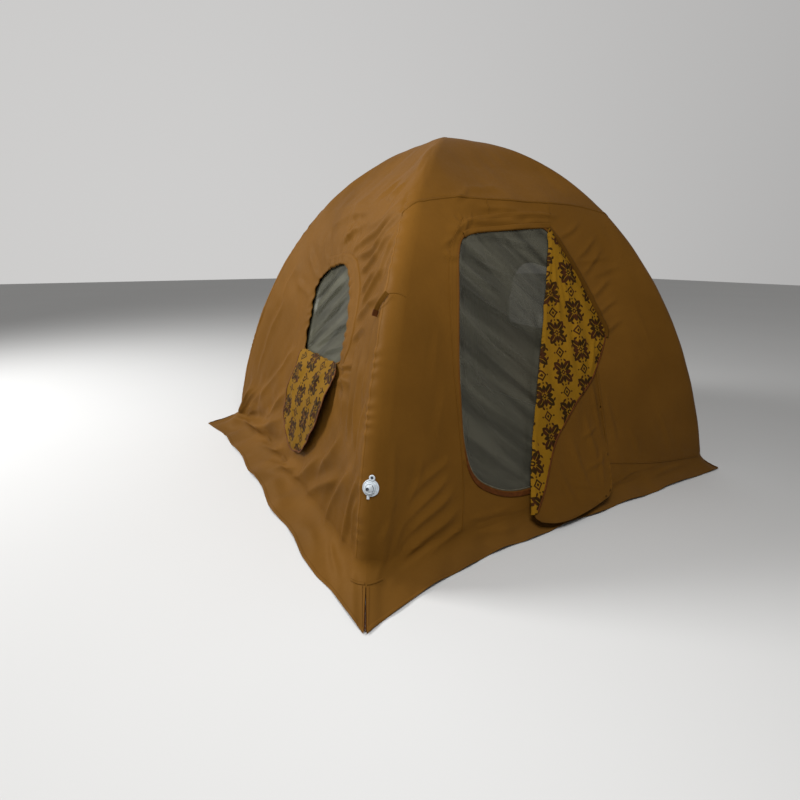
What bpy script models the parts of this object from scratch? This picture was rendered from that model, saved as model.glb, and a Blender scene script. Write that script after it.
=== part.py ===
"""Inflatable camping tent: four air-filled arches that cross at a crown, under one fitted fabric skin.

Metres, +Z up. The doorway faces -Y. The origin is the centre of the groundsheet's underside.
Each wall is described in the front wall's own frame and then turned about Z to its side.
"""
import math

import bmesh
import bpy
from mathutils import Matrix, Vector

# Arch centreline in the plane of a wall: half distance from the tent's centre, and height.
FOOT_HALF = 1.35
ARCH_TOP = 2.255
ARCH_CURVE = ((FOOT_HALF, 0.0), (1.16, 1.51), (0.49, ARCH_TOP), (0.0, ARCH_TOP))

# Skin and tubes.
SKIN_RADIUS = 0.09
SKIN = 0.008
TUBE_RADIUS = 0.0766
GAP = 0.0003
FOOT_T = -0.0021
SPLIT_T = 0.30
SEAM_T = 0.56
SEAM_GAP_T = 0.00007
CROWN_T = 0.90
CROWN_JOINT_T = 0.0003
LEG_END_T = 0.004
CROWN_END_SHARE = 0.96
CROSS_INSET = 0.0005
WALL_PULL = 1.0
ROOF_PULL = 0.45
CROWN_FLAT = (0.17, 0.50)
PULL_POWER = 2.5
STRAIGHT_SHARE = 0.86
SLEEVE_EDGE = 0.004

# Doorway, in the door plane: x along the wall, v up the slope.
DOOR_STAND = 0.014
HINGE_FOOT = (0.385, 0.25)
HINGE_HEAD = (0.425, 1.42)
HINGE_SIDE = (0.235, 0.32, 1.36, 1.42)
HEM_CORD_RADIUS = 0.004
HEM_CORD_ENDS = (0.33, 1.34)
DOOR_CLEARANCE = 0.006
DOORWAY = ((0.19, 1.822), (-0.123, 1.797), (-0.50, 1.770), (-0.552, 1.606), (-0.633, 1.208),
           (-0.713, 0.710), (-0.722, 0.50), (-0.70, 0.33), (-0.50, 0.235), (-0.331, 0.235))
DOOR_MESH = 0.003
FLAP = 0.004
FLAP_ROOT = 0.025
FLAP_ROOT_ENDS = (0.30, 1.36)
FOLD_ROOT_ENDS = (0.88, 1.36)
FOLD_GAP = 0.0008
FOLD_HEAD = (0.195, 1.80)
FOLD_FOOT = (-0.40, 0.10)
FOLD_FREE_EDGE = ((-0.285, 0.160), (-0.168, 0.315), (-0.039, 0.506), (0.182, 0.694))
FLAP_HEM = ((-0.16, 0.01), (0.12, 0.03), (0.22, 0.08))
FLAP_FLARE = 0.068
FLAP_FLARE_FROM = 0.50
FLAP_LOW = 0.05
TUCK_CLEARANCE = 0.012
TUCK_ENDS = (0.88, 1.37)
TUCK_EDGE = ((0.56, 1.07), (0.575, 1.13), (0.53, 1.21), (0.445, 1.39))
DOORWAY_SPLIT = (-0.66, 0.50)

# Windows, in the wall's own frame.
WINDOW_SHIFT = 0.09
WINDOW_FOOT = 0.92
WINDOW_HEIGHT = 0.67
WINDOW_HALF = 0.36
WINDOW_TAPER = 0.05
WINDOW_POWER = 0.7
WINDOW_MESH_SHARES = (-0.42, 0.56)
WINDOW_MESH_LEVELS = (0.20, 0.44)
WINDOW_MESH_DEPTHS = (0.002, 0.005)
COVER_SHIFT = 0.15
COVER_HALF = 0.355
COVER_POWER = 0.75
COVER_OVERLAP = 0.005
COVER_HEAD_SHARES = (0.90, 1.02)
COVER_BELLY = 0.60
COVER_DROP = 0.34

# Boolean tools.
CUTTER_DEPTH = 0.30

# Ground parts.
SHEET = 0.006
SHEET_INSET = 0.0016
SKIRT = 0.006
SKIRT_SEAT = 0.0005
SKIRT_CORNER_GAP = 0.0008
SKIRT_RUNS = (0.0, 0.15, 0.45, 1.0)
SKIRT_HEIGHT_T = 0.028
TUBE_FOOT_T = 0.0051
SKIRT_REACH = {"front": 1.50, "right": 1.57, "back": 1.55, "left": 1.62}
SKIRT_TIPS = {"front_left": (-1.546, -1.694), "front_right": (1.52, -1.50),
              "back_right": (1.62, 1.60), "back_left": (-1.724, 1.45)}

# Valve and strap on the near arch.
VALVE_T = 0.107
VALVE_FLANGE = (0.042, 0.010)
VALVE_CAP = (0.024, 0.016)
VALVE_RIM = 0.002
STRAP = (0.004, 0.10, 0.24, 0.318, 0.362)

SIDES = {"front": 0, "right": 90, "back": 180, "left": -90}
CORNERS = {"front_left": 0, "front_right": 90, "back_right": 180, "back_left": -90}


def arch_point(t):
    """Half distance and height of the arch's centreline."""
    weights = ((1 - t) ** 3, 3 * (1 - t) ** 2 * t, 3 * (1 - t) * t ** 2, t ** 3)
    half = sum(w * p[0] for w, p in zip(weights, ARCH_CURVE))
    height = sum(w * p[1] for w, p in zip(weights, ARCH_CURVE))
    return half, height


def arch_normal(t):
    """Outward unit normal of the centreline in the plane of a wall."""
    c = ARCH_CURVE
    weights = (3 * (1 - t) ** 2, 6 * (1 - t) * t, 3 * t ** 2)
    along = sum(w * (c[i + 1][0] - c[i][0]) for i, w in enumerate(weights))
    up = sum(w * (c[i + 1][1] - c[i][1]) for i, w in enumerate(weights))
    size = math.hypot(along, up)
    return up / size, -along / size


def skin_point(t):
    """Half distance and height of the outer skin where it leaves the tube."""
    half, height = arch_point(t)
    out, up = arch_normal(t)
    return half + SKIN_RADIUS * out, height + SKIN_RADIUS * up


BASE_OUT, BASE_UP = skin_point(0.0)
SEAM_OUT, SEAM_UP = skin_point(SEAM_T)
APEX_UP = skin_point(1.0)[1]
WALL_TILT = math.atan2(BASE_OUT - SEAM_OUT, SEAM_UP - BASE_UP)


def recess(share, t):
    """How far the stretched fabric is drawn in between two arches."""
    out, up = skin_point(t)
    if t <= SEAM_T:
        chord = BASE_OUT - (up - BASE_UP) * math.tan(WALL_TILT)
        pull = WALL_PULL
    else:
        chord = SEAM_OUT * (APEX_UP - up) / (APEX_UP - SEAM_UP)
        free_width = (arch_point(t)[0] - CROWN_FLAT[0]) / (CROWN_FLAT[1] - CROWN_FLAT[0])
        pull = ROOF_PULL * min(1.0, max(0.0, free_width))
    return pull * (1 - min(1.0, abs(share)) ** PULL_POWER) * max(0.0, out - chord)


def wall_point(share, t, depth):
    """Point of the front wall: share -1 to 1 between the arches, depth below the outer face."""
    half, height = arch_point(t)
    out, up = arch_normal(t)
    radius = SKIN_RADIUS - depth
    return Vector((share * half, -(half + radius * out - recess(share, t)), height + radius * up))


def sleeve_point(share, t, depth):
    """Point of the skin round the front left arch: share 0 at the left wall, 1 at the front wall."""
    half, height = arch_point(t)
    out, up = arch_normal(t)
    left = Vector((-out, 0.0, up))
    front = Vector((0.0, -out, up))
    direction = left.slerp(front, share, left)
    return Vector((-half, -half, height)) + (SKIN_RADIUS - depth) * direction


def side_point(place, t, depth):
    """Point of one whole side from ridge to ridge, place -1 to 1."""
    if abs(place) <= STRAIGHT_SHARE:
        return wall_point(place / STRAIGHT_SHARE, t, depth)
    turn = 1 - 0.5 * (abs(place) - STRAIGHT_SHARE) / (1 - STRAIGHT_SHARE)
    point = sleeve_point(turn, t, depth)
    if place > 0:
        point.x = -point.x
    return point


def spread(low, high, count):
    """Evenly spaced values, both ends included."""
    return [low + (high - low) * i / count for i in range(count + 1)]


def turn(degrees):
    """Turn about the tent's upright axis."""
    return Matrix.Rotation(math.radians(degrees), 4, "Z")


def plane_frame(side, stand=0.0):
    """Frame of a wall's flat: X along the wall, Y up its slope, Z outward."""
    tilt_sin = math.sin(WALL_TILT)
    tilt_cos = math.cos(WALL_TILT)
    frame = Matrix(((1, 0, 0, 0),
                    (0, tilt_sin, -tilt_cos, -BASE_OUT - stand * tilt_cos),
                    (0, tilt_cos, tilt_sin, BASE_UP + stand * tilt_sin),
                    (0, 0, 0, 1)))
    return turn(SIDES[side]) @ frame


def make_material(name, colour, roughness):
    material = bpy.data.materials.new(name)
    material.use_nodes = True
    shader = material.node_tree.nodes["Principled BSDF"]
    shader.inputs["Base Color"].default_value = (*colour, 1.0)
    shader.inputs["Roughness"].default_value = roughness
    shader.inputs["Metallic"].default_value = 0.0
    return material


def add_object(name, mesh, collection, material=None):
    obj = bpy.data.objects.new(name, mesh)
    if material:
        mesh.materials.clear()
        mesh.materials.append(material)
    collection.objects.link(obj)
    return obj


def mesh_from(bm, name):
    mesh = bpy.data.meshes.new(name)
    bm.to_mesh(mesh)
    bm.free()
    return mesh


def thick_patch(name, point, across, along, outer, inner, degrees=0.0, shift=(0.0, 0.0, 0.0)):
    """Closed shell of a curved surface: point(a, b, depth) from depth outer to depth inner."""
    bm = bmesh.new()
    bmesh.ops.create_grid(bm, x_segments=len(across) - 1, y_segments=len(along) - 1, size=1.0)
    copied = bmesh.ops.extrude_face_region(bm, geom=bm.faces[:], use_keep_orig=True)
    lower = {item for item in copied["geom"] if isinstance(item, bmesh.types.BMVert)}
    placement = turn(degrees)
    for vertex in bm.verts:
        i = round((vertex.co.x + 1) / 2 * (len(across) - 1))
        j = round((vertex.co.y + 1) / 2 * (len(along) - 1))
        depth = inner if vertex in lower else outer
        vertex.co = placement @ (point(across[i], along[j], depth) + Vector(shift))
    bmesh.ops.remove_doubles(bm, verts=bm.verts[:], dist=0.00005)
    bmesh.ops.triangulate(bm, faces=bm.faces[:], quad_method="SHORT_EDGE")
    bmesh.ops.recalc_face_normals(bm, faces=bm.faces[:])
    return mesh_from(bm, name)


def rounded_outline(points, rounds=2):
    """Closed outline with its corners cut round."""
    for _ in range(rounds):
        cut = []
        for here, after in zip(points, points[1:] + points[:1]):
            cut.append((0.75 * here[0] + 0.25 * after[0], 0.75 * here[1] + 0.25 * after[1]))
            cut.append((0.25 * here[0] + 0.75 * after[0], 0.25 * here[1] + 0.75 * after[1]))
        points = cut
    return points


def inset_outline(points, amount):
    """Outline moved inward; points run anticlockwise."""
    moved = []
    for before, here, after in zip(points[-1:] + points[:-1], points, points[1:] + points[:1]):
        first = Vector((here[0] - before[0], here[1] - before[1])).normalized()
        second = Vector((after[0] - here[0], after[1] - here[1])).normalized()
        middle = (first + second).normalized()
        reach = amount / max(0.5, middle.dot(first))
        moved.append((here[0] - middle.y * reach, here[1] + middle.x * reach))
    return moved


def flat_solid(name, outline, thickness, placement, collection):
    """Plate with a flat outline, centred on its own plane, as a closed mesh object."""
    curve = bpy.data.curves.new(name + "_outline", "CURVE")
    curve.dimensions = "2D"
    curve.fill_mode = "BOTH"
    curve.extrude = thickness / 2
    spline = curve.splines.new("POLY")
    spline.points.add(len(outline) - 1)
    for point, (x, y) in zip(spline.points, outline):
        point.co = (x, y, 0.0, 1.0)
    spline.use_cyclic_u = True
    return curve_to_mesh(name, curve, placement, collection)


def tube_solid(name, points, radius, placement, collection):
    """Round tube with closed ends along a list of points, as a closed mesh object."""
    curve = bpy.data.curves.new(name + "_path", "CURVE")
    curve.dimensions = "3D"
    curve.bevel_depth = radius
    curve.bevel_resolution = 4
    curve.use_fill_caps = True
    spline = curve.splines.new("POLY")
    spline.points.add(len(points) - 1)
    for point, place in zip(spline.points, points):
        point.co = (*place, 1.0)
    return curve_to_mesh(name, curve, placement, collection)


def curve_to_mesh(name, curve, placement, collection):
    guide = bpy.data.objects.new(name + "_guide", curve)
    collection.objects.link(guide)
    bpy.context.view_layer.update()
    evaluated = guide.evaluated_get(bpy.context.evaluated_depsgraph_get())
    mesh = bpy.data.meshes.new_from_object(evaluated)
    bpy.data.objects.remove(guide)
    bm = bmesh.new()
    bm.from_mesh(mesh)
    bmesh.ops.remove_doubles(bm, verts=bm.verts[:], dist=0.00005)
    bmesh.ops.recalc_face_normals(bm, faces=bm.faces[:])
    bm.to_mesh(mesh)
    bm.free()
    obj = add_object(name, mesh, collection)
    obj.matrix_world = placement
    return obj


def add_boolean(obj, cutter, operation):
    modifier = obj.modifiers.new(operation.lower(), "BOOLEAN")
    modifier.operation = operation
    modifier.solver = "EXACT"
    modifier.object = cutter


def make_cutter(name, outline, side, cutters):
    cutter = flat_solid(name, outline, CUTTER_DEPTH, plane_frame(side), cutters)
    cutter.hide_render = True
    cutter.display_type = "WIRE"
    return cutter


def hinge_x(v):
    """The door's sewn edge: x at slope height v."""
    slope = (HINGE_HEAD[0] - HINGE_FOOT[0]) / (HINGE_HEAD[1] - HINGE_FOOT[1])
    return HINGE_FOOT[0] + (v - HINGE_FOOT[1]) * slope


def doorway_outline():
    """Edge of the opening; its hinge side lies just beside the hem cord."""
    reach = HEM_CORD_RADIUS + GAP
    hinge_side = [(hinge_x(v) + reach, v) for v in HINGE_SIDE]
    return rounded_outline(hinge_side + list(DOORWAY))


def screen_outline():
    """Edge of the insect screen: clear of the opening, close to the hem cord at the hinge."""
    reach = HEM_CORD_RADIUS + GAP
    inner = inset_outline(doorway_outline(), DOOR_CLEARANCE)
    return [(min(x, hinge_x(v) - reach), v) for x, v in inner]


def window_outline(shift, foot, height, half, taper, clearance=0.0):
    """Rounded window edge, narrower at the top by twice the taper."""
    outline = []
    for angle in spread(0.0, 2 * math.pi, 28)[:-1]:
        x = math.copysign(abs(math.cos(angle)) ** WINDOW_POWER, math.cos(angle))
        y = math.copysign(abs(math.sin(angle)) ** WINDOW_POWER, math.sin(angle))
        wide = half - taper * y - clearance
        outline.append((shift + x * wide, foot + height / 2 + y * (height / 2 - clearance)))
    return outline


def cover_outline():
    """Window cover hanging below its window: straight top edge, round foot."""
    top = WINDOW_FOOT + COVER_OVERLAP
    right, left = COVER_HEAD_SHARES
    points = [(COVER_SHIFT + COVER_HALF * right, top), (COVER_SHIFT - COVER_HALF * left, top)]
    for angle in spread(math.pi, 2 * math.pi, 14):
        x = math.copysign(abs(math.cos(angle)) ** COVER_POWER, math.cos(angle))
        y = -abs(math.sin(angle)) ** COVER_POWER
        points.append((COVER_SHIFT + x * COVER_HALF, COVER_BELLY + y * COVER_DROP))
    return points


def flap_stand(v):
    """How far the door's outer flap stands off the door plane as it hangs over sill and skirt."""
    below = max(0.0, FLAP_FLARE_FROM - v) / FLAP_FLARE_FROM
    return DOOR_MESH / 2 + GAP + FLAP_FLARE * below ** 2


def wall_rows():
    """Levels of the wall panels: below the split, above it, and the whole height."""
    low = [FOOT_T] + spread(SKIRT_HEIGHT_T, SPLIT_T - SEAM_GAP_T, 5)
    high = spread(SPLIT_T + SEAM_GAP_T, SEAM_T - SEAM_GAP_T, 4)
    return low, high, low[:-1] + [SPLIT_T] + high[1:]


def door_columns():
    """Columns of the front wall over and under the doorway."""
    return spread(DOORWAY_SPLIT[0] + GAP / 2, DOORWAY_SPLIT[1] - GAP / 2, 6)


def side_columns():
    """Columns of the front wall to the right of the doorway."""
    return spread(DOORWAY_SPLIT[1] + GAP / 2, 1 - GAP / 2, 4)


def sleeve_columns():
    """Columns of an arch sleeve, from one wall to the next."""
    return spread(SLEEVE_EDGE, 1 - SLEEVE_EDGE, 5)


def build_skin(parts, cutters, cloth):
    """Walls, roof panels and arch sleeves."""
    edge = GAP / 2
    door_cutter = make_cutter("doorway_cutter", doorway_outline(), "front", cutters)
    low, high, whole = wall_rows()
    panels = {
        "front_wall_left": (spread(edge - 1, DOORWAY_SPLIT[0] - edge, 3), whole, None),
        "front_wall_right": (side_columns(), whole, None),
        "front_wall_sill": (door_columns(), low, door_cutter),
        "front_wall_lintel": (door_columns(), high, door_cutter),
    }
    for name, (across, along, cutter) in panels.items():
        obj = add_object(name, thick_patch(name, wall_point, across, along, 0.0, SKIN), parts, cloth)
        if cutter:
            add_boolean(obj, cutter, "DIFFERENCE")
    for side in ("right", "back", "left"):
        outline = window_outline(WINDOW_SHIFT, WINDOW_FOOT, WINDOW_HEIGHT, WINDOW_HALF, WINDOW_TAPER)
        cutter = make_cutter(side + "_window_cutter", outline, side, cutters)
        for level, along in (("lower", low), ("upper", high)):
            name = f"{side}_wall_{level}"
            across = spread(edge - 1, 1 - edge, 10)
            mesh = thick_patch(name, wall_point, across, along, 0.0, SKIN, SIDES[side])
            add_boolean(add_object(name, mesh, parts, cloth), cutter, "DIFFERENCE")
    for corner, degrees in CORNERS.items():
        name = "arch_sleeve_" + corner
        mesh = thick_patch(name, sleeve_point, sleeve_columns(), whole, 0.0, SKIN, degrees)
        add_object(name, mesh, parts, cloth)
    across = spread(-1, -STRAIGHT_SHARE, 3) + spread(-STRAIGHT_SHARE, STRAIGHT_SHARE, 6)[1:-1]
    across += spread(STRAIGHT_SHARE, 1, 3)
    for side, degrees in SIDES.items():
        name = "roof_" + side
        along = spread(SEAM_T + SEAM_GAP_T, 1.0, 6)
        mesh = thick_patch(name, side_point, across, along, 0.0, SKIN, degrees, (0.0, -GAP, 0.0))
        add_object(name, mesh, parts, cloth)


def build_air_frame(parts, rubber):
    """Four air legs and the crown where they join."""
    for corner, degrees in CORNERS.items():
        path = []
        for t in spread(TUBE_FOOT_T, CROWN_T - LEG_END_T, 16) + [CROWN_T - CROWN_JOINT_T]:
            half, height = arch_point(t)
            path.append((-half, -half, height))
        leg = tube_solid("air_leg_" + corner, path, TUBE_RADIUS, turn(degrees), parts)
        leg.data.materials.append(rubber)
        leg.data.shade_smooth()
    runs = []
    for name, degrees, radius in (("air_crown", 0, TUBE_RADIUS), ("crown_cross", 90, TUBE_RADIUS - CROSS_INSET)):
        path = []
        for step in [-1.0] + spread(-CROWN_END_SHARE, CROWN_END_SHARE, 8) + [1.0]:
            half, height = arch_point(1 - abs(step) * (1 - CROWN_T))
            reach = math.copysign(half, step) if step else 0.0
            path.append((reach, reach, height))
        runs.append(tube_solid(name, path, radius, turn(degrees), parts))
    crown, cross = runs
    bpy.context.view_layer.update()
    add_boolean(crown, cross, "UNION")
    crown.data.materials.append(rubber)
    evaluated = crown.evaluated_get(bpy.context.evaluated_depsgraph_get())
    crown_mesh = bpy.data.meshes.new_from_object(evaluated)
    crown.modifiers.clear()
    crown.data = crown_mesh
    bpy.data.objects.remove(cross)


def skirt_patch(side):
    """Fabric strip from the wall's foot out over the ground, pointed at both corners."""
    corners = {"front": ("front_left", "front_right"), "right": ("front_right", "back_right"),
               "back": ("back_right", "back_left"), "left": ("back_left", "front_left")}
    back_turn = turn(-SIDES[side])
    tips = [back_turn @ Vector((*SKIRT_TIPS[corner], 0.0)) for corner in corners[side]]
    reach = SKIRT_REACH[side]

    def point(place, run, depth):
        start = side_point(place, SKIRT_HEIGHT_T, -SKIRT - SKIRT_SEAT)
        tip = tips[0] if place < 0 else tips[1]
        end = Vector((abs(place) * tip.x, -reach + (tip.y + reach) * abs(place) ** 3, SKIRT))
        end.x -= math.copysign(SKIRT_CORNER_GAP, place) * abs(place)
        top = start.lerp(end, run)
        inward = Vector((-start.x, -start.y, 0.0)).normalized()
        return top + (depth * (1 - run)) * inward - Vector((0.0, 0.0, depth * run))
    return point


def build_ground_parts(parts, cloth, sheet_material):
    """Groundsheet inside the walls and the skirt around them."""
    for side, degrees in SIDES.items():
        name = "skirt_" + side
        across = spread(-1, -STRAIGHT_SHARE, 3) + spread(-STRAIGHT_SHARE, STRAIGHT_SHARE, 10)[1:-1]
        across += spread(STRAIGHT_SHARE, 1, 3)
        mesh = thick_patch(name, skirt_patch(side), across, SKIRT_RUNS, 0.0, SKIRT, degrees)
        add_object(name, mesh, parts, cloth)
    corner_radius = SKIN_RADIUS - SKIN
    centre = FOOT_HALF - SHEET_INSET
    outline = []
    for start in (0, 90, 180, 270):
        middle = math.radians(start + 45)
        x = math.copysign(centre, math.cos(middle))
        y = math.copysign(centre, math.sin(middle))
        for angle in spread(start, start + 90, 5):
            outline.append((x + corner_radius * math.cos(math.radians(angle)),
                            y + corner_radius * math.sin(math.radians(angle))))
    placement = Matrix.Translation((0.0, 0.0, SHEET / 2))
    sheet = flat_solid("groundsheet", outline, SHEET, placement, parts)
    sheet.data.materials.append(sheet_material)


def bent_plate(name, outline, thickness, placement, stand, parts, material):
    """Flat plate whose foot is pushed outward by stand(v)."""
    plate = flat_solid(name, outline, thickness, Matrix.Identity(4), parts)
    bm = bmesh.new()
    bm.from_mesh(plate.data)
    for level in spread(FLAP_LOW, FLAP_FLARE_FROM, 5):
        geometry = bm.verts[:] + bm.edges[:] + bm.faces[:]
        bmesh.ops.bisect_plane(bm, geom=geometry, plane_co=(0, level, 0), plane_no=(0, 1, 0), dist=0.0001)
    bmesh.ops.triangulate(bm, faces=bm.faces[:])
    for vertex in bm.verts:
        vertex.co.z += thickness / 2 + stand(vertex.co.y)
    bm.to_mesh(plate.data)
    bm.free()
    plate.matrix_world = placement
    plate.data.materials.append(material)
    return plate


def set_origin(obj, place):
    """Put an object's origin at a world point and leave its mesh where it is."""
    shift = obj.matrix_world.inverted() @ place
    obj.data.transform(Matrix.Translation(-shift))
    obj.matrix_world = obj.matrix_world @ Matrix.Translation(shift)


def build_door(parts, cutters, cloth, lining, screen, tape):
    """Insect screen, outer flap with its folded back part, and the cord in the sewn edge."""
    frame = plane_frame("front", DOOR_STAND)
    mesh_door = flat_solid("mesh_door", screen_outline(), DOOR_MESH, frame, parts)
    mesh_door.data.materials.append(screen)
    cord_path = [(hinge_x(v), v, 0.0) for v in HEM_CORD_ENDS]
    cord = tube_solid("door_hem_cord", cord_path, HEM_CORD_RADIUS, frame, parts)
    cord.data.materials.append(tape)
    flap_outline = [(hinge_x(v) - FLAP_ROOT, v) for v in FLAP_ROOT_ENDS] + [FOLD_HEAD, FOLD_FOOT, *FLAP_HEM]
    flap = bent_plate("door_flap", flap_outline, FLAP, frame, flap_stand, parts, cloth)
    fold_outline = [(hinge_x(v) - FLAP_ROOT, v) for v in FOLD_ROOT_ENDS] + [FOLD_HEAD, FOLD_FOOT, *FOLD_FREE_EDGE]

    def fold_stand(v):
        return flap_stand(v) + FLAP + FOLD_GAP
    fold = bent_plate("door_flap_fold", fold_outline, FLAP, frame, fold_stand, parts, lining)
    hinge_place = frame @ Vector((*HINGE_FOOT, 0.0))
    for obj in (mesh_door, cord, flap, fold):
        set_origin(obj, hinge_place)
    low, high = ((hinge_x(v) + TUCK_CLEARANCE, v) for v in TUCK_ENDS)
    cutter = make_cutter("tuck_cutter", [low, *TUCK_EDGE, high], "front", cutters)
    columns = door_columns()[-2:] + side_columns()[1:3]
    mesh = thick_patch("door_flap_tuck", wall_point, columns, wall_rows()[2], -FLAP - GAP, -GAP)
    add_boolean(add_object("door_flap_tuck", mesh, parts, lining), cutter, "INTERSECT")


def build_windows(parts, cutters, lining, screen):
    """Window screens in their openings, and the covers that hang outside below them."""
    for side in ("right", "back", "left"):
        outline = window_outline(WINDOW_SHIFT, WINDOW_FOOT, WINDOW_HEIGHT, WINDOW_HALF, WINDOW_TAPER, GAP)
        cutter = make_cutter(side + "_screen_cutter", outline, side, cutters)
        name = "window_mesh_" + side
        across = spread(*WINDOW_MESH_SHARES, 6)
        levels = spread(*WINDOW_MESH_LEVELS, 5)
        mesh = thick_patch(name, wall_point, across, levels, *WINDOW_MESH_DEPTHS, SIDES[side])
        add_boolean(add_object(name, mesh, parts, screen), cutter, "INTERSECT")
        cutter = make_cutter(side + "_cover_cutter", cover_outline(), side, cutters)
        name = "window_flap_" + side
        across = spread(GAP / 2 - 1, 1 - GAP / 2, 10)
        mesh = thick_patch(name, wall_point, across, wall_rows()[0], -FLAP - GAP, -GAP, SIDES[side])
        add_boolean(add_object(name, mesh, parts, lining), cutter, "INTERSECT")


def add_disc(name, radius, height, centre, direction, parts, material):
    """Round disc with bevelled rims, its axis along the given direction."""
    bm = bmesh.new()
    bmesh.ops.create_cone(bm, cap_ends=True, segments=32, radius1=radius, radius2=radius, depth=height)
    disc = add_object(name, mesh_from(bm, name), parts, material)
    disc.matrix_world = Matrix.Translation(centre) @ direction.to_track_quat("Z", "Y").to_matrix().to_4x4()
    bevel = disc.modifiers.new("rim", "BEVEL")
    bevel.width = VALVE_RIM
    bevel.segments = 2
    disc.data.shade_smooth()
    disc.data.set_sharp_from_angle(angle=math.radians(40))


def valve_seat():
    """Point and outward normal of the sleeve's middle strip at the valve's height."""
    left, right = sleeve_columns()[2:4]
    low, high = wall_rows()[2][2:4]
    foot, head = (sleeve_point(left, t, 0.0).lerp(sleeve_point(right, t, 0.0), 0.5) for t in (low, high))
    across = sleeve_point(right, low, 0.0) - sleeve_point(left, low, 0.0)
    return foot.lerp(head, (VALVE_T - low) / (high - low)), across.cross(head - foot).normalized()


def build_small_parts(parts, cloth, plastic):
    """Inflation valve and the loop strap on the near arch."""
    surface, outward = valve_seat()
    flange_radius, flange_height = VALVE_FLANGE
    cap_radius, cap_height = VALVE_CAP
    flange_centre = surface + outward * (GAP + flange_height / 2)
    cap_centre = surface + outward * (2 * GAP + flange_height + cap_height / 2)
    add_disc("valve_flange", flange_radius, flange_height, flange_centre, outward, parts, plastic)
    add_disc("valve_cap", cap_radius, cap_height, cap_centre, outward, parts, plastic)
    thickness, first, last, low, high = STRAP
    mesh = thick_patch("strap_loop", sleeve_point, spread(first, last, 2), spread(low, high, 3), -thickness - GAP, -GAP)
    add_object("strap_loop", mesh, parts, cloth)


def main():
    for obj in list(bpy.data.objects):
        bpy.data.objects.remove(obj)
    parts = bpy.data.collections.new("inflatable_tent")
    cutters = bpy.data.collections.new("cutters")
    bpy.context.scene.collection.children.link(parts)
    bpy.context.scene.collection.children.link(cutters)
    cloth = make_material("tan_fabric", (0.30, 0.19, 0.07), 0.55)
    lining = make_material("yellow_lining", (0.72, 0.42, 0.04), 0.6)
    screen = make_material("grey_screen", (0.20, 0.21, 0.17), 0.5)
    tape = make_material("orange_tape", (0.40, 0.16, 0.03), 0.6)
    rubber = make_material("air_tube", (0.42, 0.40, 0.34), 0.45)
    sheet = make_material("groundsheet_fabric", (0.16, 0.15, 0.12), 0.6)
    plastic = make_material("white_plastic", (0.80, 0.80, 0.77), 0.35)
    build_skin(parts, cutters, cloth)
    build_air_frame(parts, rubber)
    build_ground_parts(parts, cloth, sheet)
    build_door(parts, cutters, cloth, lining, screen, tape)
    build_windows(parts, cutters, lining, screen)
    build_small_parts(parts, cloth, plastic)


main()
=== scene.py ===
"""Cloth, trim, materials, light and camera for the inflatable camping tent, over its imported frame."""
import math

import bmesh
import bpy
import numpy as np
from mathutils import Matrix, Vector


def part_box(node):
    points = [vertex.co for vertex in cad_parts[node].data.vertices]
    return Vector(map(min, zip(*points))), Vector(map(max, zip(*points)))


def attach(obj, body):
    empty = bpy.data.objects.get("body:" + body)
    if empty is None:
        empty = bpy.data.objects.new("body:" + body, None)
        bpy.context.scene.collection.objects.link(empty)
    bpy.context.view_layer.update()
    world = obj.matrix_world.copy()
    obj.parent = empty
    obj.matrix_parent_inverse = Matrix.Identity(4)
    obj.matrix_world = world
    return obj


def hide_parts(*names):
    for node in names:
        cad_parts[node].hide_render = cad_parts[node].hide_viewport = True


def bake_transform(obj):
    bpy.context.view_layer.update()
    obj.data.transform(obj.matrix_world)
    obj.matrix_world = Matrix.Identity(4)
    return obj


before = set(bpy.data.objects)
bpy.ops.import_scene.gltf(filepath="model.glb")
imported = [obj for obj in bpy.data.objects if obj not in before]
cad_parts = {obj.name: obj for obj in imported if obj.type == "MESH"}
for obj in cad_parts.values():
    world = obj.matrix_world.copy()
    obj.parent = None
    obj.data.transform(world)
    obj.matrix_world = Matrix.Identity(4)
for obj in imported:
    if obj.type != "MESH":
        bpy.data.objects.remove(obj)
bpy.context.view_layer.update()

# The skin, from the same values as the solids.
ARCH = np.array(((1.35, 0.0), (1.16, 1.51), (0.49, 2.255), (0.0, 2.255)))
SKIN_RADIUS = 0.09
SEAM_T = 0.56
JOINT_T = 0.028
PULL_POWER = 2.5
PULL_SOFT = 1.2
ROOF_PULL = 0.45
CROWN_FLAT = (0.17, 0.50)
SKIRT_LENGTH = 0.20
SKIRT_RISE = 0.006
SKIRT_REACH = {"front": 1.50, "right": 1.57, "back": 1.55, "left": 1.62}
SKIRT_TIPS = {"front": ((-1.546, -1.694), (1.52, -1.50)), "right": ((1.52, -1.50), (1.62, 1.60)),
              "back": ((1.62, 1.60), (-1.724, 1.45)), "left": ((-1.724, 1.45), (-1.546, -1.694))}
ANGLES = {"front": 0.0, "right": math.pi / 2, "back": math.pi, "left": -math.pi / 2}
QUARTER = SKIN_RADIUS * math.pi / 2
SEAM_SHARE = 0.05
SLIT_WIDTH = 0.018
# How the skirt's curve leaves the wall: outward lean, drop, and what the corners add sideways and inward.
SKIRT_LEAN, SKIRT_DROP = 0.010, 0.085
CORNER_SPREAD, CORNER_TUCK = 0.007, 0.003
DOOR_STAND = 0.014
HINGE_FOOT = (0.385, 0.25)
HINGE_HEAD = (0.425, 1.42)

# The photograph's camera; FOCAL is its focal length in picture widths.
EYE = (-2.217, -3.1837, 1.5485)
YAW, PITCH, ROLL = -0.5127, 0.2968, 0.0025
FOCAL = 474.2287 / 800


def metres(*rows):
    """Rows of millimetres, in metres."""
    return tuple(tuple(value / 1000 for value in row) for row in rows)


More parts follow.
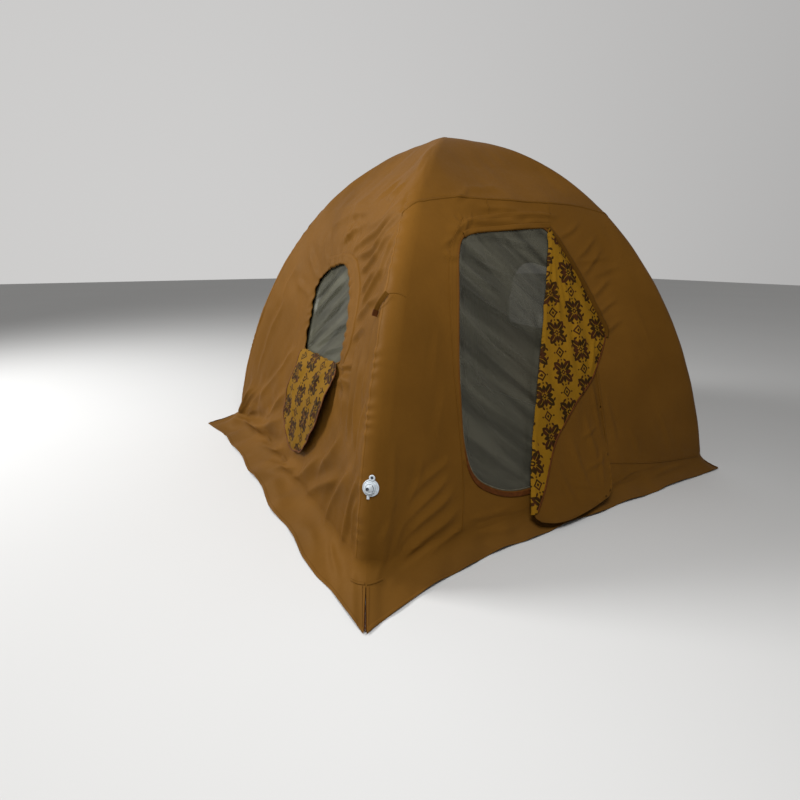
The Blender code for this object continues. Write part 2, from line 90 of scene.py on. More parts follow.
# Outlines in the skin's own measures, in millimetres: X along the wall, V up its slope.
DOORWAY = metres(
    (195, 1824), (40, 1812), (-124, 1797), (-300, 1784), (-430, 1772), (-497, 1745), (-540, 1700),
    (-578, 1608), (-612, 1436), (-664, 1216), (-705, 960), (-736, 724), (-742, 560), (-724, 444), (-685, 378),
    (-640, 336), (-532, 272), (-430, 243), (-332, 235), (-150, 238), (100, 245), (300, 262), (386, 320),
    (390, 450), (408, 900), (418, 1280), (340, 1480), (250, 1660))
FACING_EDGE = metres(
    (228, 1904), (156, 1924), (-180, 1898), (-484, 1856), (-600, 1720), (-650, 1596), (-688, 1440),
    (-715, 1216), (-738, 1004), (-757, 724), (-766, 508))
LINTEL = metres(
    (215, 1828), (120, 1828), (-120, 1806), (-300, 1794), (-440, 1778), (-505, 1748))
TAPE_EDGE = metres(
    (-745, 560), (-742, 450), (-712, 368), (-655, 310), (-542, 244), (-435, 214), (-332, 203), (-150, 206),
    (100, 213))
RIM = metres(
    (205, 1815), (285, 1680), (372, 1524), (445, 1360), (510, 1208), (545, 1130), (540, 1075))
LINING_CREASE = metres(
    (215, 1790), (262, 1620), (315, 1460), (385, 1280), (460, 1140), (500, 1050))
LINING_FREE = metres(
    (540, 1085), (500, 1015), (455, 950), (408, 895), (345, 810), (270, 755), (180, 694), (75, 600),
    (-39, 506), (-110, 410), (-168, 315), (-220, 235), (-285, 160), (-345, 105))
FOLD_LINE = metres(
    (-385, 85), (-335, 220), (-270, 410), (-185, 650), (-100, 908), (-10, 1160), (70, 1400), (140, 1620),
    (188, 1775))
FLAP_RIGHT = metres(
    (418, 1330), (411, 1100), (401, 800), (390, 460), (362, 240), (325, 110), (262, 62))
FLAP_FOOT = metres(
    (180, 45), (50, 22), (-120, 8), (-240, 20), (-335, 55))
WINDOW = metres(
    (-92, 1568), (28, 1576), (120, 1562), (192, 1524), (264, 1464), (335, 1370), (396, 1260), (460, 1170),
    (500, 1060), (512, 936), (300, 918), (50, 914), (-204, 922), (-245, 1040), (-276, 1156), (-300, 1296),
    (-330, 1380), (-272, 1460), (-184, 1524))
WINDOW_BAND = metres(
    (-200, 1620), (60, 1655), (240, 1625), (360, 1560), (450, 1470), (520, 1360), (585, 1250), (620, 1120),
    (620, 930))
COVER = metres(
    (520, 945), (545, 840), (555, 720), (540, 600), (475, 470), (395, 360), (290, 275), (150, 245), (30, 270),
    (-85, 345), (-165, 480), (-195, 630), (-175, 750), (-205, 850), (-198, 935), (50, 932), (300, 935))
ROOF_SEAM_END = metres(
    (-1005, 1800), (-955, 1845), (-860, 1895), (-720, 1943), (-550, 1972))

# Creases in millimetres, each a start, an end, a height and a width.
FRONT_FOLDS = metres(
    (-840, 550, -1100, 420, 8, 20), (-850, 470, -1200, 250, 11, 24), (-830, 380, -1240, 160, 12, 24),
    (-820, 270, -1270, 70, 14, 26), (-800, 180, -1080, 40, 10, 20), (-960, 130, -1300, 0, 9, 18),
    (-800, 165, -450, 165, 6, 16), (-770, 70, -400, 30, 7, 20), (-880, 0, -620, -40, 5, 14),
    (-1160, 0, -950, -30, 5, 14), (-1180, 720, -1290, 290, 9, 18), (-1280, 320, -1360, 20, 8, 14),
    (-1200, 460, -1330, 200, 6, 13), (-520, 1965, -340, 2040, 9, 14), (-420, 2045, -60, 2052, 9, 15),
    (-360, 1930, 0, 1910, 11, 13), (-120, 1882, 330, 1903, 14, 13), (-490, 1842, -20, 1838, 13, 13),
    (-330, 1864, -60, 1900, 10, 13), (0, 1842, 270, 1866, 12, 13), (-620, 1768, -410, 1842, 10, 18),
    (-570, 1700, -430, 1845, 10, 18), (-680, 1675, -500, 1815, 10, 18), (-680, 1650, -570, 1610, 9, 14),
    (370, 1600, 620, 1770, 8, 15), (440, 1350, 680, 1480, 9, 17), (360, 1590, 700, 1620, 7, 14),
    (400, 1490, 650, 1690, 8, 14), (470, 1240, 700, 1330, 8, 14), (530, 1120, 720, 1190, 7, 16),
    (260, 1740, 500, 1860, 8, 14), (500, 1500, 780, 1560, 6, 16), (270, 90, 680, 140, 6, 18),
    (740, 50, 1220, 80, 6, 18), (-1020, 600, -1150, 340, 6, 17), (-830, 950, -920, 620, 3, 22),
    (-820, 1260, -880, 960, 3, 20), (480, 340, 470, 720, 5, 18), (620, 500, 700, 220, 4, 20),
    (900, 550, 1050, 250, 4, 22), (800, 1300, 950, 900, 3, 22))
LEFT_FOLDS = metres(
    (170, 1655, 740, 1915, 9, 15), (270, 1610, 660, 1720, 8, 14), (520, 1665, 800, 1915, 10, 17),
    (410, 1530, 620, 1650, 8, 13), (530, 1590, 780, 1800, 9, 14), (500, 1410, 720, 1560, 7, 13),
    (620, 1310, 840, 1600, 9, 14), (800, 1500, 790, 1780, 7, 13), (570, 1250, 920, 1430, 7, 14),
    (600, 1130, 840, 1240, 6, 13), (260, 1990, 390, 2120, 6, 15), (440, 1970, 560, 2070, 6, 15),
    (270, 1790, 790, 1950, 6, 18), (-40, 1900, 300, 1930, 4, 14), (-20, 1700, 120, 1860, 5, 14),
    (-120, 1720, 430, 1900, 4, 18), (-390, 1860, 90, 1930, 4, 20), (600, 1070, 840, 620, 11, 20),
    (740, 1130, 980, 600, 10, 18), (880, 1120, 1080, 600, 10, 18), (970, 1260, 1100, 800, 7, 15),
    (1120, 920, 1160, 500, 7, 14), (1240, 560, 1140, 50, 9, 17), (1090, 520, 880, 50, 10, 20),
    (860, 620, 620, 220, 10, 24), (970, 420, 520, 60, 9, 22), (660, 400, 200, 20, 10, 26),
    (340, 190, -120, -20, 10, 22), (-20, 200, -600, -10, 13, 24), (-200, 360, -980, 50, 14, 30),
    (-500, 170, -1300, 30, 13, 24), (-300, 560, -700, 200, 10, 24), (-560, 660, -900, 300, 8, 24),
    (-360, 900, -660, 580, 7, 20), (-920, 980, -980, 550, 5, 20), (-780, 1270, -920, 860, 5, 20),
    (-700, 1580, -840, 1240, 4, 20), (-340, 1440, -620, 1700, 6, 18), (-380, 1300, -680, 1440, 5, 16),
    (-240, 1560, -420, 1840, 5, 18), (1260, 420, 1250, 140, 7, 12), (1000, 30, 1200, 0, 6, 14),
    (620, -10, 950, -10, 5, 14), (50, -20, 520, -20, 6, 18), (-300, -20, 350, 140, 7, 18),
    (-1050, 500, -1200, 160, 7, 22))
PLAIN_FOLDS = metres(
    (420, 1500, 700, 1700, 6, 18), (-340, 1460, -600, 1700, 6, 18), (500, 1200, 860, 1380, 6, 18),
    (-400, 1180, -780, 1360, 6, 18), (560, 600, 1000, 140, 10, 26), (-440, 600, -980, 120, 10, 26),
    (200, 240, 700, -10, 9, 24), (-200, 220, -660, -10, 9, 24), (960, 600, 1120, 180, 7, 20),
    (-940, 660, -1140, 160, 7, 20), (800, 1240, 950, 820, 5, 22), (-780, 1240, -940, 800, 5, 22),
    (100, 1640, 260, 1900, 5, 18), (-100, 1640, -300, 1900, 5, 18))
SCREEN_FOLDS = metres(
    (-490, 1710, -330, 1580, 8, 12), (-620, 1620, -260, 1400, 10, 16), (-540, 1670, -160, 1480, 9, 14),
    (-320, 1785, 130, 1650, 10, 16), (-650, 1500, -240, 1250, 10, 16), (-360, 1340, -40, 1100, 9, 16),
    (-670, 1350, -300, 980, 10, 18), (-680, 1230, -480, 1030, 8, 14), (-690, 1080, -380, 710, 9, 18),
    (-550, 1070, -200, 710, 8, 18), (-720, 950, -540, 700, 8, 16), (-460, 1220, -130, 930, 8, 16),
    (-640, 820, -360, 480, 7, 18), (-250, 1560, -10, 1250, 10, 14), (-170, 1570, 40, 1340, 8, 13),
    (-400, 970, -100, 640, 7, 18), (-70, 1750, 140, 1590, 8, 14))
LINING_FOLDS = metres(
    (300, 1300, 240, 800, 6, 18), (440, 1080, 300, 800, 7, 16), (0, 900, 100, 660, 5, 16),
    (-80, 720, 20, 560, 5, 14), (-220, 420, -140, 320, 4, 12), (500, 1100, 400, 960, 6, 12))
FLAP_FOLDS = metres(
    (340, 800, 350, 400, 6, 18), (220, 620, 280, 220, 6, 22), (160, 440, 350, 520, 5, 14),
    (120, 240, 340, 300, 5, 14), (200, 700, 360, 620, 4, 14), (-20, 200, 200, 120, 4, 14),
    (50, 460, 140, 120, 6, 22), (-100, 300, -20, 80, 5, 18), (330, 360, 240, 120, 5, 16))
WINDOW_FOLDS = metres(
    (-250, 1000, 300, 1420, 7, 16), (-270, 1150, 150, 1500, 7, 16), (-120, 950, 450, 1250, 7, 18),
    (80, 930, 500, 1100, 6, 16), (-300, 1320, 20, 1560, 6, 15), (-240, 950, 50, 1160, 5, 14))
COVER_FOLDS = metres(
    (-140, 900, 20, 700, 10, 22), (100, 880, 60, 620, 8, 22), (420, 900, 200, 660, 10, 22),
    (-120, 680, 100, 400, 9, 24), (360, 600, 240, 340, 8, 24), (500, 840, 440, 620, 7, 18))


def unit(vectors):
    return vectors / np.linalg.norm(vectors, axis=-1)[..., None]


def arch(t):
    """Half distance, height and outward normal of an arch's centreline in the plane of a wall."""
    t = np.asarray(t, float)
    s = 1 - t
    p = np.stack([s ** 3, 3 * s ** 2 * t, 3 * s * t ** 2, t ** 3], -1) @ ARCH
    d = unit(np.stack([3 * s ** 2, 6 * s * t, 3 * t ** 2], -1) @ np.diff(ARCH, axis=0))
    return p[..., 0], p[..., 1], d[..., 1], -d[..., 0]


def skin(t):
    half, height, out, up = arch(t)
    return half + SKIN_RADIUS * out, height + SKIN_RADIUS * up


BASE_OUT, BASE_UP = (float(c) for c in skin(0.0))
SEAM_OUT, SEAM_UP = (float(c) for c in skin(SEAM_T))
APEX_UP = float(skin(1.0)[1])
TILT = math.atan2(BASE_OUT - SEAM_OUT, SEAM_UP - BASE_UP)
T_TABLE = np.linspace(-0.01, 1.0, 2000)
V_TABLE = (skin(T_TABLE)[1] - BASE_UP) / math.cos(TILT)
V_JOINT = float((skin(JOINT_T)[1] - BASE_UP) / math.cos(TILT))
V_SEAM = float((SEAM_UP - BASE_UP) / math.cos(TILT))
V_APEX = float((APEX_UP - BASE_UP) / math.cos(TILT))
DIAGONAL = float(arch(JOINT_T)[0]) + QUARTER / 2


def smooth(value, low, high):
    t = np.clip((value - low) / (high - low), 0, 1)
    return t * t * (3 - 2 * t)


def turned(points, side):
    a = ANGLES[side]
    c, s = math.cos(a), math.sin(a)
    x, y, z = points[..., 0], points[..., 1], points[..., 2]
    return np.stack([c * x - s * y, s * x + c * y, z], -1)


def half_at(V):
    """Half width between the arches at a slope height."""
    return arch(np.interp(V, V_TABLE, T_TABLE))[0]


def upper_surface(X, V):
    """Skin of the front side above the skirt: X along the wall and on round the arch, V up its slope."""
    t = np.interp(V, V_TABLE, T_TABLE)
    half, height, out, up = arch(t)
    skin_out, skin_up = half + SKIN_RADIUS * out, height + SKIN_RADIUS * up
    chord_low = BASE_OUT - (skin_up - BASE_UP) * math.tan(TILT)
    chord_high = SEAM_OUT * (APEX_UP - skin_up) / (APEX_UP - SEAM_UP)
    free = np.clip((half - CROWN_FLAT[0]) / (CROWN_FLAT[1] - CROWN_FLAT[0]), 0, 1)
    chord = np.where(t <= SEAM_T, chord_low, chord_high)
    pull = np.where(t <= SEAM_T, 1.0, ROOF_PULL * free)
    share = np.clip(X / np.maximum(half, 1e-6), -1, 1)
    sag = pull * np.maximum(0, 1 - np.abs(share) ** PULL_POWER) ** PULL_SOFT * np.maximum(0, skin_out - chord)
    wall = np.stack([share * half, -(skin_out - sag), skin_up], -1)
    over = np.clip(np.abs(X) - half, 0, None)
    around = np.clip(over / QUARTER, 0, 1)
    angle = np.arccos(np.clip(up * up, -1, 1))
    sine = np.maximum(np.sin(angle), 1e-6)
    a, b = np.sin((1 - around) * angle) / sine, np.sin(around * angle) / sine
    side = np.sign(X)
    direction = np.stack([side * b * out, -a * out, (a + b) * up], -1)
    sleeve = np.stack([side * half, -half, height], -1) + SKIN_RADIUS * direction
    return np.where((over > 0)[..., None], sleeve, wall)


def skirt_run(V):
    """Share of the way from the wall's foot to the skirt's free edge."""
    return np.clip((V_JOINT - V) / SKIRT_LENGTH, 0, 1)


def surface(side, X, V):
    """Skin of one side, its skirt included, before any fold."""
    X, V = np.broadcast_arrays(np.asarray(X, float), np.asarray(V, float))
    top = upper_surface(X, np.maximum(V, V_JOINT))
    start = upper_surface(X, np.full_like(X, V_JOINT))
    place = np.clip(X / DIAGONAL, -1, 1)
    inverse = {"front": "front", "right": "left", "back": "back", "left": "right"}[side]
    left_tip, right_tip = (turned(np.array((x, y, 0.0)), inverse) for x, y in SKIRT_TIPS[side])
    tip_x = np.where(place < 0, left_tip[0], right_tip[0])
    tip_y = np.where(place < 0, left_tip[1], right_tip[1])
    reach = SKIRT_REACH[side]
    end = np.stack([np.abs(place) * tip_x, -reach + (tip_y + reach) * np.abs(place) ** 3,
                    np.full_like(X, SKIRT_RISE)], -1)
    corner = smooth(np.abs(place), 0.95, 1.0)
    bend = start + np.stack([CORNER_SPREAD * corner * np.sign(X), -SKIRT_LEAN + CORNER_TUCK * corner,
                             np.full_like(X, -SKIRT_DROP)], -1)
    r = skirt_run(V)[..., None]
    skirt = (1 - r) ** 2 * start + 2 * r * (1 - r) * bend + r ** 2 * end
    return turned(np.where((V < V_JOINT)[..., None], skirt, top), side)


def normal(side, X, V, e=0.004):
    dx = surface(side, X + e, V) - surface(side, X - e, V)
    dv = surface(side, X, V + e) - surface(side, X, V - e)
    n = np.cross(dx, dv)
    return n / np.maximum(np.linalg.norm(n, axis=-1)[..., None], 1e-12)


FOLD_GAIN = {"front": (1.0, 1.2), "left": (2.3, 1.7), "right": (1.5, 1.3), "back": (1.5, 1.3)}
# Shape of a crease: reach and wander in widths, where its ends fade, its power, and the valley beside it.
CREASE_REACH, CREASE_WANDER = 4, 0.35
CREASE_START, CREASE_STOP = (-0.05, 0.30), (0.62, 1.05)
CREASE_POWER = 1.4
VALLEY_DEPTH, VALLEY_PLACE, VALLEY_WIDTH = 0.5, 1.8, 1.3


def creases(X, V, folds, gain=(1.3, 1.0)):
    """Sharp ridges with a soft valley on one side, faded at both ends; gain scales height and width."""
    total = np.zeros_like(X)
    for x0, v0, x1, v1, height, width in folds:
        height, width = height * gain[0], width * gain[1]
        reach = CREASE_REACH * width
        near = ((X > min(x0, x1) - reach) & (X < max(x0, x1) + reach)
                & (V > min(v0, v1) - reach) & (V < max(v0, v1) + reach))
        if not near.any():
            continue
        dx, dv = x1 - x0, v1 - v0
        length = math.hypot(dx, dv)
        px, pv = X[near] - x0, V[near] - v0
        s = (px * dx + pv * dv) / length ** 2
        d = (px * dv - pv * dx) / length
        d = d + CREASE_WANDER * width * np.sin(6.0 * s + 7.0 * x0)
        ends = smooth(s, *CREASE_START) * (1 - smooth(s, *CREASE_STOP))
        valley = np.exp(-((d - VALLEY_PLACE * width) / (VALLEY_WIDTH * width)) ** 2)
        profile = np.exp(-np.abs(d / width) ** CREASE_POWER) - VALLEY_DEPTH * valley
        total[near] += height * ends * profile
    return total


def ripple(X, V, wave, height, lean, seed, count=14):
    """Soft uneven waves whose crests lie near the angle lean, from a fixed seed."""
    rng = np.random.default_rng(seed)
    total = np.zeros_like(X)
    for _ in range(count):
        angle = lean + math.pi / 2 + rng.normal(0, 0.45)
        k = 2 * math.pi / wave * rng.uniform(0.55, 1.7)
        total += np.sin(k * (X * math.cos(angle) + V * math.sin(angle)) + rng.uniform(0, 2 * math.pi))
    return height * total * math.sqrt(2 / count)


def scattered(side_seed, count, low, high, length, height, width):
    """Small creases that follow the arches, spread over a wall."""
    rng = np.random.default_rng(side_seed)
    folds = []
    for _ in range(count):
        v = rng.uniform(low, high)
        x = rng.uniform(-1, 1) * float(half_at(v))
        size = length * rng.uniform(0.5, 1.4)
        lean = math.atan2(1.0, -0.28 * x) + rng.normal(0, 0.35)
        dx, dv = 0.5 * size * math.cos(lean), 0.5 * size * math.sin(lean)
        folds.append((x - dx, v - dv, x + dx, v + dv,
                      height * rng.uniform(0.4, 1.2), width * rng.uniform(0.8, 1.4)))
    return folds


def spread_fan(x, v, near, far, start, stop, count, height, width, seed):
    """Creases that spread from one point, angles in degrees."""
    rng = np.random.default_rng(seed)
    folds = []
    for i in range(count):
        a = math.radians(start + (stop - start) * (i + rng.uniform(0.1, 0.9)) / count)
        r0, r1 = near * rng.uniform(0.9, 1.4), far * rng.uniform(0.6, 1.1)
        folds.append((x + r0 * math.cos(a), v + r0 * math.sin(a), x + r1 * math.cos(a), v + r1 * math.sin(a),
                      height * rng.uniform(0.6, 1.2), width * rng.uniform(0.8, 1.2)))
    return folds


def line_distance(X, V, line):
    """Distance to an open line, place along it in metres, and on which side a point lies."""
    best = np.full(X.shape, 1e9)
    place = np.zeros(X.shape)
    hand = np.zeros(X.shape)
    run = 0.0
    for (x0, v0), (x1, v1) in zip(line[:-1], line[1:]):
        dx, dv = x1 - x0, v1 - v0
        length = math.hypot(dx, dv)
        s = np.clip(((X - x0) * dx + (V - v0) * dv) / length ** 2, 0, 1)
        d = np.hypot(X - x0 - s * dx, V - v0 - s * dv)
        closer = d < best
        best = np.where(closer, d, best)
        place = np.where(closer, run + s * length, place)
        hand = np.where(closer, np.sign((V - v0) * dx - (X - x0) * dv), hand)
        run += length
    return best, place, hand


def run_along(points):
    """Distance along a line at each of its points."""
    return np.concatenate([[0], np.cumsum(np.linalg.norm(np.diff(points, axis=0), axis=1))])


def resample(line, step, closed=False):
    """Even points along a line, rounded a little at its corners."""
    points = np.array(line, float)
    for _ in range(3):
        after = np.roll(points, -1, 0) if closed else points[1:]
        before = points if closed else points[:-1]
        cut = np.stack([0.75 * before + 0.25 * after, 0.25 * before + 0.75 * after], 1)
        cut = cut.reshape(-1, points.shape[1])
        points = cut if closed else np.vstack([points[:1], cut, points[-1:]])
    if closed:
        points = np.vstack([points, points[:1]])
    length = run_along(points)
    places = np.linspace(0, length[-1], max(3, int(round(length[-1] / step)) + 1))
    even = np.stack([np.interp(places, length, points[:, k]) for k in range(points.shape[1])], -1)
    return even[:-1] if closed else even


def forward(points, closed):
    """Direction of a line at each of its points."""
    return np.roll(points, -1, 0) - np.roll(points, 1, 0) if closed else np.gradient(points, axis=0)


def sideways(line, closed=True):
    """Unit vectors to the left of a flat line; inward, where it is closed and runs anticlockwise."""
    along = unit(forward(line, closed))
    return np.stack([-along[:, 1], along[:, 0]], -1)


def anticlockwise(outline):
    """Closed outline with its points in anticlockwise order."""
    x, v = outline.T
    area = np.sum(x * np.roll(v, -1) - np.roll(x, -1) * v)
    return outline if area > 0 else outline[::-1]


def opened(points):
    """Points of a broken ring, in order from one side of its widest gap to the other."""
    start = int(np.argmax(np.linalg.norm(points - np.roll(points, 1, 0), axis=1)))
    return np.roll(points, -start, 0)


def edge_gap(X, V, outline):
    """Distance to a closed outline."""
    return line_distance(X, V, np.vstack([outline, outline[:1]]))[0]


def wavy(outline, height, wave, seed):
    """Closed outline with a gathered, uneven edge."""
    rng = np.random.default_rng(seed)
    place = np.cumsum(np.linalg.norm(np.roll(outline, -1, 0) - outline, axis=1))
    turns = np.round(place[-1] / (wave * np.array((1.0, 0.62, 1.7))))
    shift = sum(size * np.sin(2 * math.pi * n * place / place[-1] + rng.uniform(0, 6.3))
                for n, size in zip(turns, (1.0, 0.5, 0.9)))
    return outline + height * shift[:, None] * sideways(outline)


SIDE_FOLDS = {
    "front": list(FRONT_FOLDS) + spread_fan(-0.47, 1.76, 0.03, 0.16, 60, 185, 7, 0.004, 0.010, 3)
    + scattered(11, 12, 0.1, 0.7, 0.22, 0.0014, 0.018)
    + spread_fan(-1.36, 0.02, 0.05, 0.42, 20, 70, 5, 0.007, 0.018, 8),
    "left": list(LEFT_FOLDS) + spread_fan(0.10, 1.50, 0.13, 0.42, 25, 150, 9, 0.003, 0.012, 5)
    + scattered(12, 34, 0.1, 1.95, 0.24, 0.0016, 0.016)
    + spread_fan(-1.36, 0.0, 0.06, 0.80, 4, 60, 9, 0.009, 0.022, 6)
    + spread_fan(0.52, 0.92, 0.06, 0.30, -80, 20, 6, 0.006, 0.014, 9),
    "right": list(PLAIN_FOLDS) + scattered(13, 80, 0.1, 1.95, 0.24, 0.0028, 0.016),
    "back": list(PLAIN_FOLDS) + scattered(14, 80, 0.1, 1.85, 0.24, 0.0028, 0.016)}
RIM_LINE = resample(RIM, 0.02)

# Gathers beside the arches' seams: wave length, height at the near ridge and elsewhere, and reach.
PUCKER_WAVE, RIDGE_PUCKER, PUCKER, PUCKER_REACH = 0.074, 0.0046, 0.0018, 0.040
# Swell outside the rim, gathers round the window, quiet strip at a seam, and the front's calmer cloth.
RIM_RISE, RIM_REACH = 0.014, 0.075
GATHER_WAVE, GATHER_HEIGHT, GATHER_REACH = 0.085, 0.0045, 0.045
SEAM_QUIET = 0.035
FRONT_CALM = 0.45


def seam_puckers(side, X, V, seam):
    """Uneven gathers beside a sleeve's seam."""
    waves = np.sin(2 * math.pi * V / PUCKER_WAVE + 3.4 * np.sin(7 * V) + 1.9 * np.sin(23 * V))
    waves = waves * (0.55 + 0.45 * np.sin(5.3 * V + 1.0) * np.sin(13 * V))
    near_ridge = {"front": X < 0, "left": X > 0}.get(side, np.zeros(X.shape, bool))
    deep = np.where(near_ridge, RIDGE_PUCKER, PUCKER)
    fade = np.exp(-(seam / PUCKER_REACH) ** 2) * smooth(V, 0.1, 0.3)
    return np.where(V < V_SEAM, deep * waves * fade, 0.0)


def rim_rise(X, V):
    """Swell of the front wall outside the lining's rim."""
    near = (X > 0.1) & (X < 0.9) & (V > 0.9) & (V < 1.95)
    d, place, hand = line_distance(X[near], V[near], RIM_LINE)
    ends = smooth(place, 0.0, 0.10) * (1 - smooth(place, 0.74, 0.84))
    total = np.zeros_like(X)
    total[near] = ends * np.where(hand > 0, RIM_RISE * np.exp(-(d / RIM_REACH) ** 1.4), 0.0)
    return total


def window_gather(side, X, V):
    """Gathers of the wall round its window."""
    near = (np.abs(X - 0.1) < 0.8) & (V > 0.8) & (V < 1.8)
    d, place, _ = line_distance(X[near], V[near], WINDOW_EDGE[side])
    waves = np.sin(2 * math.pi * place / GATHER_WAVE + 3.0 * np.sin(5 * place) + 1.5 * np.sin(17 * place))
    total = np.zeros_like(X)
    total[near] = GATHER_HEIGHT * waves * np.exp(-(d / GATHER_REACH) ** 2)
    return total


def relief(side, X, V):
    """Height of folds and gathers over the plain skin."""
    half = half_at(V)
    share = 1 - SEAM_SHARE if side in ("front", "back") else SEAM_SHARE
    seam = half + QUARTER * share - np.abs(X)
    room = np.where(V > V_SEAM, half + QUARTER / 2 - np.abs(X), np.abs(seam))
    calm = FRONT_CALM if side == "front" else 1.0
    total = creases(X, V, SIDE_FOLDS[side], FOLD_GAIN[side])
    total += calm * ripple(X, V, 0.42, 0.0026, 1.4, 21 + len(side))
    total += calm * ripple(X, V, 0.17, 0.0010, 1.9, 31 + len(side))
    total *= smooth(room, 0.0, SEAM_QUIET)
    total += seam_puckers(side, X, V, seam)
    run = skirt_run(V)
    total += run * (0.004 + ripple(X, V * 0.3, 0.30, 0.0045, 1.57, 41 + len(side)))
    if side == "front":
        total += rim_rise(X, V)
    if side == "left":
        total += window_gather(side, X, V)
    corner = smooth(np.abs(X), DIAGONAL - 0.09, DIAGONAL - 0.01) * smooth(run, 0.0, 0.12)
    return total * (1 - corner)


# Each window's edge: step, height and length of its gathers, and seed.
WINDOW_EDGE = {side: wavy(resample(WINDOW[::-1], step, True), height, wave, seed)
               for side, step, height, wave, seed in (("left", 0.008, 0.0045, 0.19, 2),
                                                      ("right", 0.010, 0.0015, 0.11, 4),
                                                      ("back", 0.010, 0.0015, 0.11, 6))}
NEIGHBOUR = {"left": {1: "front", -1: "back"}, "right": {1: "back", -1: "front"}}


def skin_relief(side, X, V):
    """Relief that two neighbouring panels share where they meet on an arch."""
    X, V = (np.array(a) for a in np.broadcast_arrays(np.asarray(X, float), np.asarray(V, float)))
    own = relief(side, X, V)
    if side in ("front", "back"):
        return own
    half = half_at(V)
    over = np.abs(X) > half + QUARTER * SEAM_SHARE
    for hand, neighbour in NEIGHBOUR[side].items():
        part = over & (np.sign(X) == hand) & (V <= V_SEAM)
        if part.any():
            there = -hand * (half[part] + QUARTER - (np.abs(X[part]) - half[part]))
            own[part] = relief(neighbour, there, V[part])
    return own


# Least height of any cloth over the ground.
LOWEST = 0.0016


def above(side, X, V, lift):
    """Point lift metres above the plain skin."""
    return surface(side, X, V) + normal(side, X, V) * lift[..., None]


def cloth(side, X, V, lift=0.0):
    """Point of the finished cloth, lift metres above it."""
    points = above(side, X, V, skin_relief(side, X, V) + lift)
    points[..., 2] = np.maximum(points[..., 2], LOWEST + np.clip(lift, 0, 0.004))
    return points


def plane(x, v, n=0.0):
    """Point of the door's flat: x along the wall, v up its slope, n outward."""
    x, v, n = np.broadcast_arrays(np.asarray(x, float), np.asarray(v, float), np.asarray(n, float))
    return np.stack([x, -BASE_OUT - n * math.cos(TILT) + v * math.sin(TILT),
                     BASE_UP + n * math.sin(TILT) + v * math.cos(TILT)], -1)


def hinge_x(v):
    slope = (HINGE_HEAD[0] - HINGE_FOOT[0]) / (HINGE_HEAD[1] - HINGE_FOOT[1])
    return HINGE_FOOT[0] + (v - HINGE_FOOT[1]) * slope


def inside(points, outline):
    """Which points lie inside a closed outline."""
    result = np.zeros(len(points), bool)
    for (x0, y0), (x1, y1) in zip(outline, np.roll(outline, -1, 0)):
        crosses = (y0 > points[:, 1]) != (y1 > points[:, 1])
        if crosses.any():
            at = x0 + (points[crosses, 1] - y0) * (x1 - x0) / (y1 - y0)
            result[crosses] ^= points[crosses, 0] < at
    return result


def nearest(points, outline):
    """Nearest place on a closed outline, and how far it is."""
    after = np.roll(outline, -1, 0) - outline
    size = (after ** 2).sum(-1)
    places, distances = np.empty_like(points), np.empty(len(points))
    for start in range(0, len(points), 2000):
        p = points[start:start + 2000]
        s = np.clip(((p[:, None] - outline) * after).sum(-1) / size, 0, 1)
        q = outline + s[..., None] * after
        d = ((p[:, None] - q) ** 2).sum(-1)
        i = d.argmin(1)
        places[start:start + 2000] = q[np.arange(len(p)), i]
        distances[start:start + 2000] = np.sqrt(d[np.arange(len(p)), i])
    return places, distances


def cut_grid(X, V, outline=None, keep_inside=False):
    """Triangles of a grid, its points moved onto the outline where it passes, one side of it left out."""
    rows, columns = X.shape
    state = np.zeros(X.shape, int)
    points = np.stack([X.ravel(), V.ravel()], -1)
    if outline is not None:
        step = 0.56 * max(np.abs(np.diff(X, axis=1)).max(), np.abs(np.diff(V, axis=0)).max())
        low, high = outline.min(0) - step, outline.max(0) + step
        near = np.flatnonzero(((points > low) & (points < high)).all(1))
        flat = state.ravel()
        flat[near[inside(points[near], outline)]] = 2
        places, distances = nearest(points[near], outline)
        snapped = distances < step
        points[near[snapped]] = places[snapped]
        flat[near[snapped]] = 1
        state = flat.reshape(X.shape)
    index = np.arange(rows * columns).reshape(rows, columns)
    a, b, c, d = index[:-1, :-1], index[:-1, 1:], index[1:, 1:], index[1:, :-1]
    flat = state.ravel()
    other = (np.abs(flat[a] - flat[c]) == 2)[..., None]
    first = np.where(other, np.stack([a, b, d], -1), np.stack([a, b, c], -1)).reshape(-1, 3)
    second = np.where(other, np.stack([b, c, d], -1), np.stack([a, c, d], -1)).reshape(-1, 3)
    faces = np.vstack([first, second])
    if outline is not None:
        kinds = flat[faces]
        unwanted = 0 if keep_inside else 2
        drop = (kinds == unwanted).any(1)
        level = (kinds == 1).all(1)
        if level.any():
            within = inside(points[faces[level]].mean(1), outline)
            drop[level] = ~within if keep_inside else within
        faces = faces[~drop]
    used = np.unique(faces)
    lookup = np.full(rows * columns, -1)
    lookup[used] = np.arange(len(used))
    return points[used], lookup[faces]


def make_piece(name, points, faces, uv, material, body="tent", slot="tan_fabric", replaces=()):
    """Mesh object with its measures as texture coordinates, riding on a body."""
    mesh = bpy.data.meshes.new(name)
    mesh.from_pydata(np.asarray(points).tolist(), [], [tuple(f) for f in np.asarray(faces).tolist()])
    layer = mesh.uv_layers.new(name="Measures")
    corners = np.empty(len(mesh.loops), int)
    mesh.loops.foreach_get("vertex_index", corners)
    layer.data.foreach_set("uv", np.asarray(uv, float)[corners].ravel())
    mesh.shade_smooth()
    mesh.materials.append(material)
    obj = bpy.data.objects.new(name, mesh)
    bpy.context.scene.collection.objects.link(obj)
    if body:
        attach(obj, body)
    if replaces:
        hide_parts(*replaces)
    return obj


